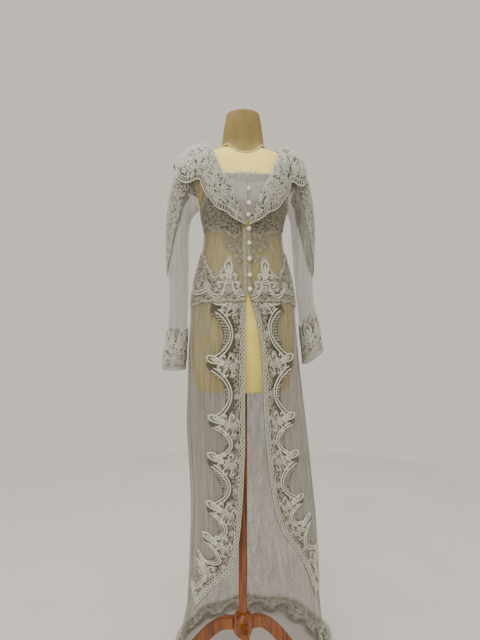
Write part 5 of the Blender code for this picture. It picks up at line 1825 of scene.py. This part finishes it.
def build_insets():
    for side, tail in ((-1, "right"), (1, "left")):
        rows = []
        for t in np.linspace(0.0, 1.0, 50):
            row = []
            for s in np.linspace(0.0, 1.0, 70):
                top = INSET_TOP - 0.006 * math.sin(math.pi * s)
                height = lerp(INSET_LOW, top, t)
                low = GARMENT.turn_at(0.0005, height)
                high = neckline_turn(height) - 0.0009 / GARMENT.front(height)
                row.append(cloth_point(side * lerp(low, high, s), height))
            rows.append(row)
        points = np.array([[tuple(point) for point in row] for row in rows])
        normals = normals_of(points, (0.0, 0.0, 1.5))
        across = np.abs(points[:, :, 0])
        pleat = 0.00035 * np.sin(across * 2.0 * math.pi / 0.0052 + 9.0 * points[:, :, 2])
        seam = 0.0004 * np.exp(-(across / 0.0016) ** 2)
        points = points + normals * (pleat - seam - 0.0006)[:, :, None]
        spots = np.stack((across, points[:, :, 2]), axis=2)
        shape = grid_piece("inset_cloth_" + tail, points + AXIS, [INSET], spots)
        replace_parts(shape, "chest_inset_" + tail)
        tufts = build_tufts(side, tail)


def build_tufts(side, tail):
    """Feathery thread ends along the top of the inset."""
    random = np.random.default_rng(101 + side)
    points = []
    faces = []
    for k in range(150):
        out = 0.0012 + 0.060 * random.random() ** 1.3
        foot = INSET_TOP - 0.006 - 0.030 * random.random() * (1.0 - out / 0.10)
        length = random.uniform(0.010, 0.019) * (1.0 - 4.0 * max(0.0, out - 0.030))
        lean = 0.5 * (out / 0.060) + random.uniform(-0.25, 0.25)
        start = len(points)
        for i in range(5):
            t = i / 4.0
            x = out + length * t * math.sin(lean) + 0.0010 * math.sin(3.0 * t + k)
            z = foot + length * t * math.cos(lean)
            half = 0.00055 * (1.0 - 0.85 * t)
            turn = GARMENT.turn_at(max(x, 0.0006), z)
            point, normal = cloth_site(side * turn, z)
            lift = 0.0003 + 0.0022 * t * (1.0 - 0.4 * t) + 0.0004 * (k % 3)
            for edge in (-half, half):
                points.append(tuple(point + normal * lift + Vector((edge, 0.0, 0.0))))
        for i in range(4):
            a = start + 2 * i
            faces.append((a, a + 1, a + 3, a + 2))
    points = np.array(points)
    return add_piece("inset_tufts_" + tail, points + AXIS, np.array(faces), [TUFT],
                     points[:, (0, 2)])


def build_plackets():
    for side, tail in ((-1, "right"), (1, "left")):
        chart = front_chart(side, 1.203, 1.414)
        vs = np.linspace(PLACKET_LOW, PLACKET_HIGH, 70)
        across = np.linspace(0.0004, 0.0112, 9)
        spots = np.array([[(u, v) for u in across] for v in vs])
        flat = spots.reshape(-1, 2)
        crown = 0.0013 + 0.0008 * np.sin(math.pi * (flat[:, 0] - 0.0004) / 0.0108)
        points = chart.place(np.column_stack((flat, crown)))
        shape = grid_piece("placket_strip_" + tail, points.reshape(70, 9, 3), [PLACKET], spots)
        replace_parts(shape, "placket_" + tail)
        work = Needlework(0.0019, 111 + side)
        for u in (0.0018, 0.0100):
            work.cord(np.column_stack((u + 0.0 * vs, vs)), 0.0013, 0.0008)
        stitches = np.arange(PLACKET_LOW + 0.003, PLACKET_HIGH, 0.0046)
        work.stamp(BEAD, np.column_stack((0.0068 + 0.0 * stitches, stitches)), 0.0008, 0.0, SEED)
        trim = work.finish("placket_stitches_" + tail, chart, PALE_LOOKS)


PLACKET_LOW = 1.209
PLACKET_HIGH = 1.407


def build_pearls():
    for number, place in enumerate(BUTTON_PLACES, 1):
        if place.on_inset:
            turn, under = GARMENT.turn_at(0.003, place.height), 0.0006
        else:
            turn = lerp(edge_turn(1, place.height), 0.5 * math.pi, 0.028)
            under = 0.0029
        point, normal = cloth_site(turn, place.height)
        centre = point + normal * (under + BUTTON_RADIUS)
        made = bmesh.new()
        bmesh.ops.create_icosphere(made, subdivisions=4, radius=BUTTON_RADIUS)
        for vertex in made.verts:
            away = vertex.co.normalized()
            dimple = math.exp(-((1.0 - abs(away.dot(normal))) / 0.004) ** 2)
            vertex.co = vertex.co * (1.0 - 0.05 * dimple) + centre + Vector(AXIS)
        mesh = bpy.data.meshes.new("pearl_%d" % number)
        made.to_mesh(mesh)
        made.free()
        mesh.materials.append(PEARL)
        mesh.shade_smooth()
        shape = bpy.data.objects.new("pearl_%d" % number, mesh)
        bpy.context.scene.collection.objects.link(shape)
        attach(shape, "root")
        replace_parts(shape, "pearl_button_%d" % number)


PEARL = pearl_look()


# Stage, light and camera


def build_stage():
    floor = bpy.data.meshes.new("studio_floor")
    corners = [(FLOOR_REACH * math.cos(turn), FLOOR_REACH * math.sin(turn), 0.0)
               for turn in np.linspace(0.0, 2.0 * math.pi, 96, endpoint=False)]
    floor.from_pydata(corners, [], [tuple(range(96))])
    look = Look("studio_floor", 0.85)
    look.colour(look.noise((3.0, 3.0, 3.0)), shade(214, 209, 202), shade(220, 215, 208))
    floor.materials.append(look.material)
    shape = bpy.data.objects.new("studio_floor", floor)
    bpy.context.scene.collection.objects.link(shape)

    world = bpy.data.worlds.new("studio_air")
    world.use_nodes = True
    air = world.node_tree.nodes["Background"]
    air.inputs["Color"].default_value = shade(196, 189, 180)
    air.inputs["Strength"].default_value = AIR_STRENGTH
    bpy.context.scene.world = world
    for name, place, aim, size, power in LAMPS:
        lamp = bpy.data.lights.new(name, "AREA")
        lamp.size = size
        lamp.energy = power
        holder = bpy.data.objects.new(name, lamp)
        holder.location = place
        way = Vector(aim) - Vector(place)
        holder.rotation_euler = way.to_track_quat("-Z", "Y").to_euler()
        bpy.context.scene.collection.objects.link(holder)


FLOOR_REACH = 2.6
AIR_STRENGTH = 1.38
LAMPS = (
    ("top_lamp", (-0.4, -0.7, 4.2), (0.0, -0.1, 1.2), 2.4, 105.0),
    ("front_lamp", (-1.6, -3.4, 2.6), (0.0, -0.1, 1.0), 2.2, 34.0),
)


def build_camera():
    lens = bpy.data.cameras.new("photo_lens")
    lens.lens = 27.0
    lens.sensor_width = 36.0
    camera = bpy.data.objects.new("photo_camera", lens)
    turn = math.radians(CAMERA_TURN)
    forward = np.array((math.sin(turn), math.cos(turn), 0.0))
    right = np.array((math.cos(turn), -math.sin(turn), 0.0))
    spot = AXIS - CAMERA_DISTANCE * forward - CAMERA_SHIFT * right
    camera.location = (spot[0], spot[1], CAMERA_HEIGHT)
    camera.rotation_euler = Vector(forward).to_track_quat("-Z", "Y").to_euler()
    bpy.context.scene.collection.objects.link(camera)
    bpy.context.scene.camera = camera


CAMERA_TURN = 6.0            # degrees the view is turned, seen from above
CAMERA_DISTANCE = 1.5
CAMERA_HEIGHT = 1.1375
CAMERA_SHIFT = 0.0094        # how far the view's middle passes to the left of the axis


def main():
    build_camera()
    build_stage()
    build_form()
    build_stand()
    build_net()
    build_sleeves()
    build_insets()
    build_plackets()
    build_pearls()
    build_front_lace()
    build_back_lace()
    build_borders()
    build_train_lace()
    build_sleeve_lace()
    build_collar()
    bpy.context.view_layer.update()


main()
